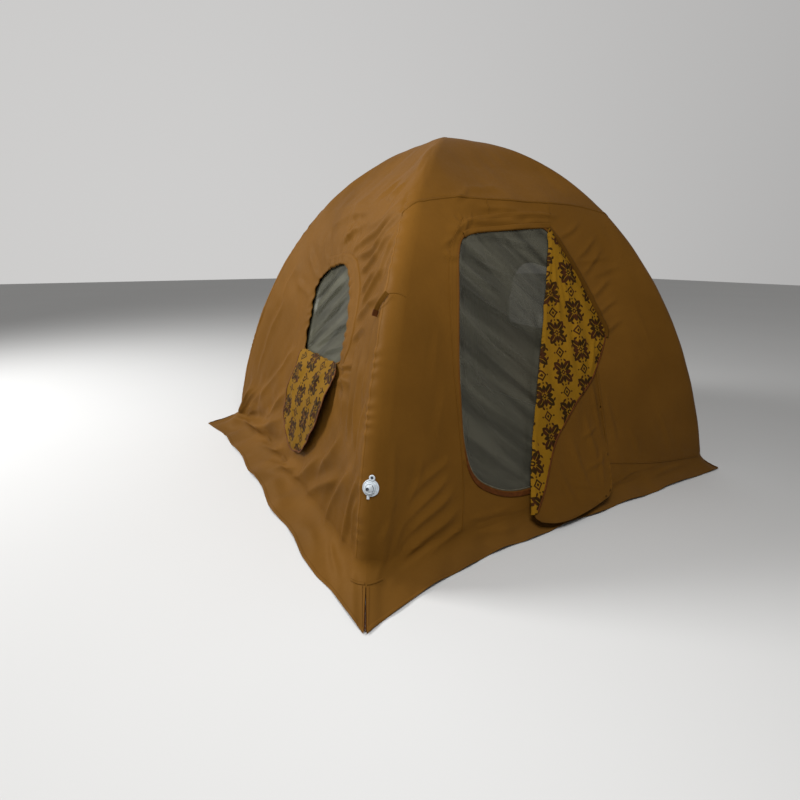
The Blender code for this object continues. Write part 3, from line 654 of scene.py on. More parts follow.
def loft(sections, closed_path=False, closed_section=False):
    """Quads over a row of cross-sections."""
    count, size = sections.shape[:2]
    index = np.arange(count * size).reshape(count, size)
    if closed_path:
        index = np.vstack([index, index[:1]])
    if closed_section:
        index = np.hstack([index, index[:, :1]])
    return np.stack([index[:-1, :-1], index[:-1, 1:], index[1:, 1:], index[1:, :-1]], -1).reshape(-1, 4)


# Section of a sewn strip: places across it and heights, in half widths and lifts.
WELT = ((-1.0, -0.5), (-0.88, 0.8), (-0.4, 1.0), (0.0, 1.1), (0.4, 1.0), (0.88, 0.8), (1.0, -0.5))
RIBBON_STEP = 0.010


def ribbon(name, side, path, width, lift, material, closed=False, centre=0.0, **rest):
    """Sewn strip that follows the cloth, its edges just under the surface."""
    line = resample(path, RIBBON_STEP, closed)
    across = sideways(line, closed)
    offsets, lifts = np.array(WELT).T * np.array(((width / 2,), (lift,)))
    X = line[:, :1] + across[:, :1] * (centre + offsets)
    V = line[:, 1:] + across[:, 1:] * (centre + offsets)
    sections = cloth(side, X, V, lifts)
    uv = np.stack(np.broadcast_arrays(run_along(line)[:, None], offsets), -1).reshape(-1, 2)
    faces = loft(sections, closed)[:, ::-1]
    return make_piece(name, sections.reshape(-1, 3), faces, uv, material, **rest)


def with_count(line, count):
    """The same line with another number of points."""
    old, new = np.linspace(0, 1, len(line)), np.linspace(0, 1, count)
    return np.stack([np.interp(new, old, line[:, k]) for k in (0, 1)], -1)


def strip_between(name, side, first, second, lift, material, **rest):
    """Sewn band of changing width between two lines of equal sense."""
    a, b = resample(first, RIBBON_STEP), resample(second, RIBBON_STEP)
    size = max(len(a), len(b))
    a, b = with_count(a, size), with_count(b, size)
    s = np.concatenate([[0.0, 0.04], np.linspace(0.12, 0.88, 7), [0.96, 1.0]])
    rise = np.concatenate([[-0.4, 0.8], np.full(7, 1.0), [0.8, -0.4]]) * lift
    sections = cloth(side, a[:, :1] + (b - a)[:, :1] * s, a[:, 1:] + (b - a)[:, 1:] * s, rise)
    width = float(np.linalg.norm(b - a, axis=1).mean())
    uv = np.stack(np.broadcast_arrays(run_along(a)[:, None], (s - 0.5) * width), -1).reshape(-1, 2)
    return make_piece(name, sections.reshape(-1, 3), loft(sections), uv, material, **rest)


def bound_edge(name, points, normals, wide, thick, material, closed=False, **rest):
    """Folded tape with a rounded section along an edge; normals may be one for all points."""
    normals = np.broadcast_to(normals, points.shape)
    across = unit(np.cross(forward(points, closed), normals))
    turns = np.linspace(0, 2 * math.pi, 11)[:-1]
    a, b = (size / 2 * np.sign(wave) * np.abs(wave) ** 0.7
            for size, wave in ((wide, np.cos(turns)), (thick, np.sin(turns))))
    sections = points[:, None] + across[:, None] * a[None, :, None] + normals[:, None] * b[None, :, None]
    uv = np.stack(np.broadcast_arrays(run_along(points)[:, None], a), -1).reshape(-1, 2)
    return make_piece(name, sections.reshape(-1, 3), loft(sections, closed, True), uv, material, **rest)


def operator(operation):
    """Method that adds a node of one kind of arithmetic."""
    return lambda self, *others: self.nodes.math(operation, self, *others)


class Value:
    """Output of a node, for plain arithmetic."""

    def __init__(self, nodes, socket):
        self.nodes = nodes
        self.socket = socket

    __add__, __sub__ = operator("ADD"), operator("SUBTRACT")
    __mul__, __truediv__ = operator("MULTIPLY"), operator("DIVIDE")
    __mod__, __abs__ = operator("FLOORED_MODULO"), operator("ABSOLUTE")


class Nodes:
    """Short writing of a node material."""

    def __init__(self, name, roughness=0.6, specular=0.35, alpha=1.0, tint=(1.0, 1.0, 1.0)):
        self.material = bpy.data.materials.new(name)
        self.material.use_nodes = True
        self.tree = self.material.node_tree
        self.shader = self.tree.nodes["Principled BSDF"]
        self.set("Roughness", roughness)
        self.set("Specular IOR Level", specular)
        self.set("Alpha", alpha)
        self.set("Specular Tint", (*tint, 1.0))
        coordinates = self.tree.nodes.new("ShaderNodeTexCoord")
        self.place = Value(self, coordinates.outputs["Object"])
        self.uv = Value(self, coordinates.outputs["UV"])

    def set(self, name, value):
        self.link(value, self.shader.inputs[name])

    def link(self, value, socket):
        if isinstance(value, Value):
            self.tree.links.new(value.socket, socket)
        else:
            socket.default_value = value

    def node(self, kind, output, **inputs):
        """Output of a new node whose inputs are given by name, with spaces as underscores."""
        node = self.tree.nodes.new(kind)
        for name, value in inputs.items():
            self.link(value, node.inputs[name.replace("_", " ")])
        return node, Value(self, node.outputs[output])

    def math(self, operation, *values, clamp=False):
        node, result = self.node("ShaderNodeMath", 0)
        node.operation = operation
        node.use_clamp = clamp
        for value, socket in zip((*values, 0.0, 0.0), node.inputs):
            self.link(value, socket)
        return result

    def greater(self, a, b):
        return self.math("MAXIMUM", a, b)

    def smaller(self, a, b):
        return self.math("MINIMUM", a, b)

    def line(self, value, slope, start):
        return self.math("MULTIPLY_ADD", value, slope, start)

    def sine(self, value, wave):
        return self.math("SINE", value * (2 * math.pi / wave))

    def between(self, value, low, high):
        node, result = self.node("ShaderNodeMapRange", "Result", Value=value, From_Min=low, From_Max=high)
        node.interpolation_type = "SMOOTHSTEP"
        return result

    def scaled(self, vector, scale):
        node, result = self.node("ShaderNodeVectorMath", 0)
        node.operation = "MULTIPLY"
        self.link(vector, node.inputs[0])
        self.link(scale, node.inputs[1])
        return result

    def parts(self, vector):
        node, _ = self.node("ShaderNodeSeparateXYZ", 0, Vector=vector)
        return [Value(self, socket) for socket in node.outputs]

    def noise(self, vector, scale, detail=3.0, distortion=0.0):
        return self.node("ShaderNodeTexNoise", "Fac", Vector=vector, Scale=scale, Detail=detail,
                         Distortion=distortion)[1]

    def slanted(self, vector, degrees, along, across):
        """Coordinates turned by an angle and scaled along and across it."""
        x, y, _ = self.parts(vector)
        c, s = math.cos(math.radians(degrees)), math.sin(math.radians(degrees))
        return self.node("ShaderNodeCombineXYZ", 0, X=self.line(x, along * c, y * (along * s)),
                         Y=self.line(x, -across * s, y * (across * c)))[1]

    def mix(self, factor, first, second):
        node, result = self.node("ShaderNodeMix", 2)
        node.data_type = "RGBA"
        self.link(factor, node.inputs[0])
        for value, socket in ((first, node.inputs[6]), (second, node.inputs[7])):
            self.link(value if isinstance(value, Value) else (*value, 1.0), socket)
        return result

    def bump(self, height, strength, distance, below=None):
        under = {"Normal": below} if below else {}
        return self.node("ShaderNodeBump", "Normal", Strength=strength, Distance=distance, Height=height,
                         **under)[1]


def shade(colour, factor):
    return tuple(c * factor for c in colour)


def woven(n, pitch):
    """Height of a plain weave from the cloth's own measures."""
    u, v, _ = n.parts(n.uv)
    return n.sine(u, pitch) * n.sine(v, pitch)


def netting(n, vector, pitch):
    """Height of a square net."""
    x, y, _ = n.parts(vector)
    return n.greater(n.sine(x, pitch), n.sine(y, pitch))


# Colour of dust, and length of a stitch with its gap.
DUST = (0.085, 0.052, 0.024)
STITCH = 0.0045


def tan_cloth(name, colour, crinkle=0.5, stitched=None):
    """Woven polyester with small creases, fading and dust, and stitch rows where it is a sewn strip."""
    n = Nodes(name, specular=0.05, tint=(1.0, 0.55, 0.15))
    patches = n.noise(n.place, 2.1, 4.0, 0.4)
    grain = n.noise(n.place, 46.0, 5.0)
    height = n.parts(n.place)[2]
    base = n.mix(n.between(patches, 0.30, 0.72), shade(colour, 0.90), shade(colour, 1.10))
    base = n.mix(grain * 0.22, base, shade(colour, 0.62))
    base = n.mix(n.between(height + patches * 0.12, 0.20, 0.03) * 0.16, base, DUST)
    if stitched:
        u, v, _ = n.parts(n.uv)
        row = n.between(abs(abs(v) - stitched), 0.0022, 0.0008)
        dash = n.between(n.sine(u, STITCH), -0.5, 0.1)
        base = n.mix(row * dash * 0.55, base, shade(colour, 0.38))
    n.set("Base Color", base)
    n.set("Roughness", n.line(grain, 0.16, 0.46))
    fine = n.noise(n.place, 34.0, 4.0, 0.6)
    soft = n.noise(n.scaled(n.place, (1.0, 1.0, 0.6)), 5.0, 2.0, 0.5)
    weave = n.bump(woven(n, 0.0012), 0.08, 0.0002)
    n.set("Normal", n.bump(soft, 0.28 * crinkle, 0.014, n.bump(fine, 0.22 * crinkle, 0.0026, weave)))
    return n.material


def screen_cloth(name, colour, alpha, degrees, specular):
    """Fine insect netting with its mesh; slanting streaks bump it and paint bands of highlight and shade into
    its colour.
    """
    n = Nodes(name, specular=specular, alpha=alpha, tint=(1.0, 0.98, 0.86))
    holes = netting(n, n.uv, 0.0016)
    streaks = n.noise(n.slanted(n.uv, degrees, 1.0, 10.0), 1.0, 2.5, 0.3)
    # Painted highlight and shade: the slanting light and dark bands stand for sheen on the netting's folds.
    base = n.mix(n.between(streaks, 0.34, 0.68), shade(colour, 0.66), shade(colour, 1.42))
    n.set("Base Color", n.mix(n.between(holes, 0.3, 1.0) * 0.12, base, shade(colour, 0.7)))
    n.set("Roughness", n.line(streaks, 0.10, 0.30))
    n.set("Normal", n.bump(streaks, 0.40, 0.014, n.bump(holes, 0.01, 0.0002)))
    return n.material


def leaf(n, along, across, middle, half_length, half_width):
    """Leaf with pointed ends: 1 inside, 0 outside."""
    out = (along - middle) / half_length
    edge = n.line(out * out, -half_width, half_width)
    return n.between(edge - across, -0.0008, 0.0012)


def rosette(n, x, y):
    """Four veined leaves on the slants, four small ones between, side leaves and a ring."""
    wide, tall = abs(x), abs(y)
    p = (wide + tall) * math.sqrt(0.5)
    q = abs(wide - tall) * math.sqrt(0.5)
    vein = n.greater(n.between(q, 0.0008, 0.0024), n.between(p, 0.056, 0.062))
    large = leaf(n, p, q, 0.047, 0.032, 0.021) * vein
    small = leaf(n, n.greater(wide, tall), n.smaller(wide, tall), 0.035, 0.022, 0.0125)
    side_leaf = leaf(n, q, abs(p - 0.061), 0.027, 0.012, 0.0065)
    radius = n.math("SQRT", x * x + y * y)
    heart = n.between(radius, 0.0135, 0.0120) * n.between(radius, 0.0040, 0.0056)
    return n.greater(n.greater(large, n.greater(small, heart)), side_leaf)


def sprig(n, x, y):
    """Diamond round a dot, with a bud off each corner."""
    wide, tall = abs(x), abs(y)
    size = wide + tall
    diamond = n.between(abs(size - 0.0250), 0.0070, 0.0046)
    dot = n.between(size, 0.0110, 0.0085)
    buds = n.between(abs(n.greater(wide, tall) - 0.0390) + n.smaller(wide, tall), 0.0072, 0.0052)
    return n.greater(n.greater(diamond, dot), buds)


# The print's repeat, and the scale of the measures that its motifs are drawn in.
REPEAT_WIDE, REPEAT_TALL = 0.186, 0.252
MOTIF_ZOOM = 0.84


def printed_lining(name, yellow):
    """Yellow lining with brown rosettes and small diamonds, in columns set half a repeat apart."""
    n = Nodes(name, roughness=0.62, specular=0.05, tint=(1.0, 0.75, 0.3))
    wobble = n.line(n.noise(n.uv, 4.0), 0.012, -0.006)
    half_wide, half_tall = REPEAT_WIDE / 2, REPEAT_TALL / 2
    u, v, _ = n.parts(n.uv)
    u, v = u + wobble, v - wobble
    shifted = v + n.math("FLOOR", u / REPEAT_WIDE) % 2.0 * half_tall
    x = (u % REPEAT_WIDE - half_wide) * MOTIF_ZOOM
    large_y = (shifted % REPEAT_TALL - half_tall) * MOTIF_ZOOM
    small_y = ((shifted + half_tall) % REPEAT_TALL - half_tall) * MOTIF_ZOOM
    motif = n.math("MAXIMUM", rosette(n, x, large_y), sprig(n, x, small_y), clamp=True)
    faded = n.between(n.noise(n.place, 3.0, 3.0), 0.3, 0.7)
    ground = n.mix(faded, shade(yellow, 0.90), shade(yellow, 1.08))
    brown = n.mix(n.between(n.noise(n.place, 30.0, 4.0), 0.40, 0.62), MOTIF, MOTIF_WARM)
    n.set("Base Color", n.mix(motif * 0.94, ground, brown))
    creased = n.noise(n.place, 17.0, 4.0, 0.7)
    n.set("Normal", n.bump(creased, 0.40, 0.008, n.bump(woven(n, 0.0011), 0.12, 0.0002)))
    return n.material


def tape_cloth(name, colour):
    """Ribbed binding tape with worn ribs."""
    n = Nodes(name, roughness=0.62, specular=0.15, tint=(1.0, 0.6, 0.35))
    ribs = n.sine(n.parts(n.uv)[0], 0.0016)
    worn = n.noise(n.place, 38.0, 5.0)
    n.set("Base Color", n.mix(n.between(worn, 0.35, 0.70), shade(colour, 0.78), shade(colour, 1.18)))
    n.set("Normal", n.bump(worn, 0.3, 0.002, n.bump(ribs, 0.2, 0.0003)))
    return n.material


def tube_rubber(name, colour):
    """Coated bladder cloth with a welded band every 38 cm of its height."""
    n = Nodes(name, specular=0.4)
    grain = n.noise(n.place, 60.0, 5.0)
    bands = n.between(abs(n.sine(n.parts(n.place)[2], 2 * 0.38)), 0.05, 0.02)
    base = n.mix(n.noise(n.place, 5.0, 3.0), shade(colour, 0.88), shade(colour, 1.08))
    n.set("Base Color", n.mix(bands * 0.35, base, shade(colour, 0.6)))
    n.set("Roughness", n.line(grain, 0.18, 0.38))
    n.set("Normal", n.bump(grain, 0.25, 0.0008, n.bump(bands, 0.4, 0.0015)))
    return n.material


def coated_sheet(name, colour):
    """Groundsheet: coated weave, scuffed and dusty."""
    n = Nodes(name, specular=0.35)
    scuff = n.noise(n.scaled(n.place, (1.0, 0.4, 1.0)), 24.0, 6.0, 0.5)
    patches = n.between(n.noise(n.place, 1.7, 4.0), 0.3, 0.7)
    base = n.mix(patches, shade(colour, 0.85), shade(colour, 1.2))
    n.set("Base Color", n.mix(n.between(scuff, 0.55, 0.75) * 0.3, base, shade(colour, 2.2)))
    n.set("Roughness", n.line(scuff, 0.25, 0.40))
    n.set("Normal", n.bump(scuff, 0.4, 0.003, n.bump(netting(n, n.place, 0.006), 0.15, 0.0004)))
    return n.material


def moulded_plastic(name, colour, roughness):
    """Moulded plastic with a fine grain and handling marks."""
    n = Nodes(name, specular=0.5)
    grain = n.noise(n.place, 900.0, 2.0)
    marks = n.noise(n.place, 60.0, 5.0)
    n.set("Base Color", n.mix(n.between(marks, 0.35, 0.70), shade(colour, 0.86), colour))
    n.set("Roughness", n.line(marks, 0.2, roughness))
    n.set("Normal", n.bump(grain, 0.08, 0.0003))
    return n.material


TAN = (0.126, 0.055, 0.0085)
TAPE = (0.080, 0.024, 0.005)
SCREEN = (0.062, 0.059, 0.043)
LINING = (0.190, 0.094, 0.0065)
MOTIF = (0.010, 0.006, 0.003)
MOTIF_WARM = (0.030, 0.008, 0.005)
FABRIC = tan_cloth("tent_cloth", TAN)
FLAP_FABRIC = tan_cloth("door_cloth", shade(TAN, 0.86), 0.4)
HEM_FABRIC = tan_cloth("hem_cloth", shade(TAN, 0.96), 0.35, 0.0045)
BAND_FABRIC = tan_cloth("facing_cloth", shade(TAN, 1.02), 0.45, 0.022)
EDGE_FABRIC = tan_cloth("edge_cloth", (0.108, 0.043, 0.008), 0.3)
# Lighter copy of the tent cloth: a painted highlight of the gathers beside the sleeve seams.
SEAM_HIGHLIGHT_FABRIC = tan_cloth("seam_painted_highlight_cloth", shade(TAN, 1.15), 0.8, 0.010)
# Darker copy of the tent cloth: painted shadow of the rim's edge beside the door lining.
RIM_SHADOW_FABRIC = tan_cloth("rim_painted_shadow_cloth", shade(TAN, 0.60), 0.4)
SCREEN_DOOR = screen_cloth("door_screen", SCREEN, 0.74, -42, 0.45)
SCREEN_WINDOW = screen_cloth("window_screen", (0.058, 0.056, 0.037), 0.80, 36, 0.20)
PRINT = printed_lining("printed_lining_cloth", LINING)
# Darker copy of the printed lining for the window covers: painted shade.
SHADED_PRINT_COVER = printed_lining("printed_cover_painted_shade_cloth", shade(LINING, 0.82))
TAPE_CLOTH = tape_cloth("binding_tape", TAPE)
ZIP_TAPE = tape_cloth("zip_tape", (0.11, 0.10, 0.07))
RUBBER = tube_rubber("air_tube_skin", (0.30, 0.29, 0.25))
SHEET = coated_sheet("groundsheet_cloth", (0.075, 0.066, 0.050))
PLASTIC = moulded_plastic("valve_plastic", (0.54, 0.59, 0.63), 0.30)
DARK_PLASTIC = moulded_plastic("valve_core", (0.035, 0.042, 0.055), 0.42)


def wall_grid(columns, rows, low, high, reach):
    """X and V of a wall's grid; reach gives its half width at each height."""
    V = np.linspace(low, high, rows + 1)[:, None] + np.zeros((1, columns + 1))
    X = np.linspace(-1, 1, columns + 1)[None, :] * reach(V[:, :1])
    return X, V


# The strip of an end panel that is tucked under its neighbour.
TUCK_WIDTH, TUCK_DEPTH = 0.005, 0.003


def make_end_panel(side, columns, rows, outline, replaced):
    """Front or back panel with both its arch sleeves."""
    def reach(v):
        return half_at(v) + QUARTER * (1 - SEAM_SHARE)
    X, V = wall_grid(columns, rows, V_JOINT, V_SEAM, reach)
    X = np.hstack([X[:, :1] - TUCK_WIDTH, X, X[:, -1:] + TUCK_WIDTH])
    V = np.hstack([V[:, :1], V, V[:, :1]])
    uv, faces = cut_grid(X, V, outline)
    X, V = uv.T
    tucked = np.abs(X) > reach(V) + 0.001
    points = cloth(side, X, V, np.where(tucked, -TUCK_DEPTH, 0.0))
    return make_piece("cloth_" + side, points, faces, uv, FABRIC, replaces=replaced)


# Grid of the canopy: columns of its side and end roof panels, of a sleeve strip, and rows of the roof.
SIDE_COLUMNS, END_COLUMNS = 240, 130
SLEEVE_COLUMNS = 5
ROOF_ROWS, ROOF_CROWDING = 40, 0.82
WELD = 0.00005


def roof_patch(side, levels, reach):
    """Grid of one roof panel; the side panels' outer strips match the walls below them."""
    half = half_at(levels)[:, None]
    if side in ("left", "right"):
        inner = np.linspace(-1, 1, SIDE_COLUMNS + 1) * (half + reach)
        outer = half + reach + np.linspace(0, 1, SLEEVE_COLUMNS + 1)[1:] * (QUARTER / 2 - reach)
        X = np.hstack([-outer[:, ::-1], inner, outer])
    else:
        X = np.linspace(-1, 1, END_COLUMNS + 1) * (half + QUARTER / 2)
    return cut_grid(X, levels[:, None] + 0 * X)


def make_canopy():
    """Left wall, roof and right wall in one cloth."""
    reach = QUARTER * SEAM_SHARE
    grids = []
    for side, rows in (("left", 150), ("right", 96)):
        X, V = wall_grid(SIDE_COLUMNS, rows, V_JOINT, V_SEAM, lambda v: half_at(v) + reach)
        grids.append((side, *cut_grid(X, V, WINDOW_EDGE[side])))
    levels = V_SEAM + (V_APEX - V_SEAM) * np.linspace(0, 1, ROOF_ROWS + 1) ** ROOF_CROWDING
    levels[-1] = V_APEX - 1e-5
    for side in ANGLES:
        grids.append((side, *roof_patch(side, levels, reach)))
    points = np.vstack([cloth(side, *uv.T) for side, uv, _ in grids])
    starts = np.cumsum([0] + [len(uv) for _, uv, _ in grids])
    faces = np.vstack([faces + start for (_, _, faces), start in zip(grids, starts)])
    walls = ["left_wall_lower", "left_wall_upper", "right_wall_lower", "right_wall_upper"]
    obj = make_piece("cloth_canopy", points, faces, np.vstack([uv for _, uv, _ in grids]), FABRIC,
                     replaces=walls + ["roof_front", "roof_right", "roof_back", "roof_left"])
    bm = bmesh.new()
    bm.from_mesh(obj.data)
    bmesh.ops.remove_doubles(bm, verts=bm.verts[:], dist=WELD)
    bm.to_mesh(obj.data)
    bm.free()
    return obj


def skirt_edge(side, X, V):
    """Slope height moved up a little towards the skirt's uneven free edge."""
    uneven = 0.5 + 0.5 * np.clip(ripple(X, 0 * X, 0.62, 0.7, 1.57, 61 + len(side), 6), -1, 1)
    return V + 0.012 * skirt_run(V) ** 2 * uneven * (1 - np.abs(X / DIAGONAL) ** 6)


# The wall's foot inside the skirt: its reach below the ground line and over the joint, and its depth.
FOOT_BELOW, FOOT_OVER, FOOT_INSET = 0.008, 0.003, 0.003


def make_skirt(side, columns, rows):
    """Skirt, with the foot of the wall inside it."""
    X, V = wall_grid(columns, rows, V_JOINT - SKIRT_LENGTH, V_JOINT,
                     lambda v: DIAGONAL - SLIT_WIDTH / 2 * smooth(V_JOINT - v, 0.09, SKIRT_LENGTH))
    uv, faces = cut_grid(X, V)
    X, V = uv.T
    points = cloth(side, X, skirt_edge(side, X, V))
    skirt = make_piece("cloth_skirt_" + side, points, faces, uv, FABRIC, replaces=["skirt_" + side])
    X, V = wall_grid(60, 3, -FOOT_BELOW, V_JOINT + FOOT_OVER, lambda v: DIAGONAL + 0 * v)
    uv, faces = cut_grid(X, V)
    X, V = uv.T
    points = turned(upper_surface(X, V), side)
    points = points - FOOT_INSET * normal(side, X, np.full(len(uv), V_JOINT + 0.02))
    return skirt, make_piece("wall_foot_" + side, points, faces, uv, FABRIC)


# The floor cloth: half its side between the corners, their rounding, its height and its highest wave.
FLOOR_HALF, FLOOR_CORNER = 1.348, SKIN_RADIUS - 0.012
FLOOR_HEIGHT, FLOOR_WAVE = 0.0042, 0.0032


def make_groundsheet():
    """Floor cloth with rounded corners and the soft waves of uneven ground."""
    angles = [math.radians(degrees + 4.5) for degrees in range(0, 360, 9)]
    edge = [[math.copysign(FLOOR_HALF, part) + FLOOR_CORNER * part for part in (math.cos(a), math.sin(a))]
            for a in angles]
    uv, faces = region(resample(edge, 0.02, True), 0.045)
    x, y = uv.T
    waves = ripple(x, y, 0.55, 0.0014, 0.6, 131) + ripple(x, y, 0.20, 0.0005, 2.0, 132)
    points = np.stack([x, y, FLOOR_HEIGHT + np.clip(waves, -FLOOR_WAVE, FLOOR_WAVE)], -1)
    return make_piece("floor_cloth", points, faces, uv, SHEET, slot="groundsheet_fabric",
                      replaces=["groundsheet"])


# Spacing of edge points, and steps of the grids that the thin cloths are cut from.
EDGE_STEP = 0.008
FINE_STEP, COARSE_STEP, COVER_STEP = 0.0095, 0.013, 0.012

DOOR_EDGE = resample(DOORWAY, EDGE_STEP, True)
DOOR_OUTWARD = np.array((0.0, -math.cos(TILT), math.sin(TILT)))
# How far the screen lies inside the wall, and how far the flap's foot swings out and from what height down.
SCREEN_DEPTH = 0.006
FLAP_FLARE, FLARE_FROM = 0.068, 0.5


def wall_height(X, V):
    """How far the front wall's plain skin stands off the door's flat."""
    return (surface("front", X, V) - plane(0.0, 0.0)) @ DOOR_OUTWARD


def screen_lift(X):
    """The screen lies just inside the wall, and comes out to the hinge line beside it."""
    return -SCREEN_DEPTH + (SCREEN_DEPTH + DOOR_STAND) * smooth(X, 0.16, 0.34)


def region(outline, step):
    """Grid cut to the inside of an outline."""
    low, high = outline.min(0), outline.max(0)
    count = np.maximum(2, np.ceil((high - low) / step).astype(int))
    X, V = np.meshgrid(np.linspace(low[0] - step, high[0] + step, count[0] + 3),
                       np.linspace(low[1] - step, high[1] + step, count[1] + 3))
    return cut_grid(X, V, outline, True)


def flare(V):
    """How far the flap's foot swings out."""
    return FLAP_FLARE * (np.clip(FLARE_FROM - V, 0, None) / FLARE_FROM) ** 2


def shrunk(outline, amount):
    """Closed outline moved inward; its points run anticlockwise."""
    return outline + amount * sideways(outline)


def fold_x(V):
    """X of the flap's fold line at a slope height."""
    return interpolated(FOLD_LINE, np.clip(V, 0.085, 1.775))


# The screen's clearance from the doorway's edge and the hinge line, and its zip's lift, width and thickness.
SCREEN_GAP, HINGE_GAP = 0.008, 0.006
ZIP_LIFT, ZIP_WIDE, ZIP_THICK = 0.0015, 0.007, 0.004


def make_door_screen():
    """Insect screen with slanting tension streaks, and its zip line."""
    edge = shrunk(DOOR_EDGE, SCREEN_GAP)
    edge[:, 0] = np.minimum(edge[:, 0], hinge_x(edge[:, 1]) - HINGE_GAP)
    uv, faces = region(edge, FINE_STEP)
    X, V = uv.T
    past_fold = X - fold_x(V)
    slack = smooth(edge_gap(X, V, edge), 0.0, 0.06) * (1 - smooth(past_fold, -0.02, 0.05))
    streaks = ripple(X, V, 0.26, 0.0030, -0.75, 71, 7) + ripple(X, V, 0.11, 0.0010, -0.78, 72, 7)
    folds = streaks + creases(X, V, SCREEN_FOLDS) - 0.012 * (1 - smooth(X, 0.0, 0.30))
    height = wall_height(X, V) + (screen_lift(X) + slack * folds)
    height = np.where(past_fold > -0.03, np.minimum(height, DOOR_STAND - 0.004), height)
    obj = make_piece("door_screen_cloth", plane(X, V, height), faces, uv, SCREEN_DOOR, "door",
                     "grey_screen", ["mesh_door"])
    rail = edge[(edge[:, 0] < 0.36) & (edge[:, 1] < 1.60 - 2.5 * np.maximum(edge[:, 0], 0))]
    X, V = opened(rail).T
    line = above("front", X, V, screen_lift(X) + ZIP_LIFT)
    zipper = bound_edge("door_zip", line, normal("front", X, V), ZIP_WIDE, ZIP_THICK, ZIP_TAPE, body="door",
                        slot="grey_screen")
    return obj, zipper


def interpolated(line, v):
    """X of an upright line at a slope height."""
    points = resample(line, 0.01)
    order = np.argsort(points[:, 1])
    return np.interp(v, points[order, 1], points[order, 0])


# How far the lining stands out where it is free, where it is tucked and at its top end.
LINING_STAND, TUCK_STAND, TOP_STAND = 0.025, 0.0045, 0.012


def lining_height(X, V):
    """How far the folded lining stands off the door's flat."""
    crease = interpolated(LINING_CREASE, np.clip(V, 1.05, 1.79))
    rim = interpolated(RIM, np.clip(V, 1.08, 1.815))
    full = LINING_STAND + flare(V) + 0.003 * smooth(V, 0.5, 0.9) * (1 - smooth(V, 1.45, 1.80))
    tucked = wall_height(X, V) + TUCK_STAND
    share = smooth(X, crease, np.maximum(rim - 0.006, crease + 0.02)) * smooth(V, 0.98, 1.10)
    top = smooth(V, 1.70, 1.80)
    full = full * (1 - top) + TOP_STAND * top
    return full * (1 - share) + tucked * share


# The rolled fold of the flap: how deep and how wide it turns.
ROLL_DEPTH, ROLL_WIDTH = 0.016, 0.018
BINDING_THICK = 0.006


def make_door_lining():
    """Folded back part of the flap: rounded fold, printed face, tuck under the rim and bound free edge."""
    outline = np.array(LINING_FREE[::-1] + RIM[-2::-1] + ((0.196, 1.800),))
    edge = np.vstack([resample(outline, EDGE_STEP), resample(FOLD_LINE[::-1], EDGE_STEP)[3:-2]])
    uv, faces = region(edge, FINE_STEP)
    X, V = uv.T
    turn = 1 - np.clip((X - fold_x(V)) / ROLL_WIDTH, 0, 1)
    roll = ROLL_DEPTH * (1 - np.sqrt(np.clip(1 - turn ** 2, 0, 1)))
    bends = creases(X, V, spread_fan(0.20, 1.80, 0.08, 0.85, -118, -72, 6, 0.006, 0.014, 81)
                    + list(LINING_FOLDS))
    rim_gap, _, _ = line_distance(X, V, RIM_LINE)
    waves = bends + ripple(X, V, 0.16, 0.0024, 1.75, 82)
    height = lining_height(X, V) + smooth(rim_gap, 0.004, 0.05) * waves - roll
    obj = make_piece("door_lining", plane(X, V, height), faces, uv, PRINT, None, "yellow_lining",
                     ["door_flap_fold", "door_flap_tuck"])
    X, V = resample(LINING_FREE, EDGE_STEP)[:-1].T
    here = plane(X, V, lining_height(X, V) + 0.001)
    binding = bound_edge("door_lining_binding", here, DOOR_OUTWARD, 0.011, BINDING_THICK, TAPE_CLOTH,
                         body=None, slot="orange_tape")
    for piece in (obj, binding):
        across_hinge(piece)
    return obj, binding


# Half the width of a strip across the hinge line.
BLEND_REACH = 0.030


def across_hinge(piece):
    """Bake a piece's transform into its mesh; the ends of a strip across the hinge are worked out but not
    used.
    """
    lean = math.atan2(HINGE_HEAD[0] - HINGE_FOOT[0], HINGE_HEAD[1] - HINGE_FOOT[1])
    x, v = hinge_x(1.0) + 0.004, 1.0
    start = plane(x + BLEND_REACH * math.cos(lean), v - BLEND_REACH * math.sin(lean), DOOR_STAND)
    end = plane(x - BLEND_REACH * math.cos(lean), v + BLEND_REACH * math.sin(lean), DOOR_STAND)
    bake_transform(piece)


# How far the flap stands out: free, at its top end, at its seam and at least; and its hem's section.
FLAP_STAND, FLAP_TOP, FLAP_SEAM, FLAP_LEAST = DOOR_STAND + 0.004, 0.006, 0.0035, 0.0125
HEM_WIDE, HEM_THICK = 0.007, 0.003


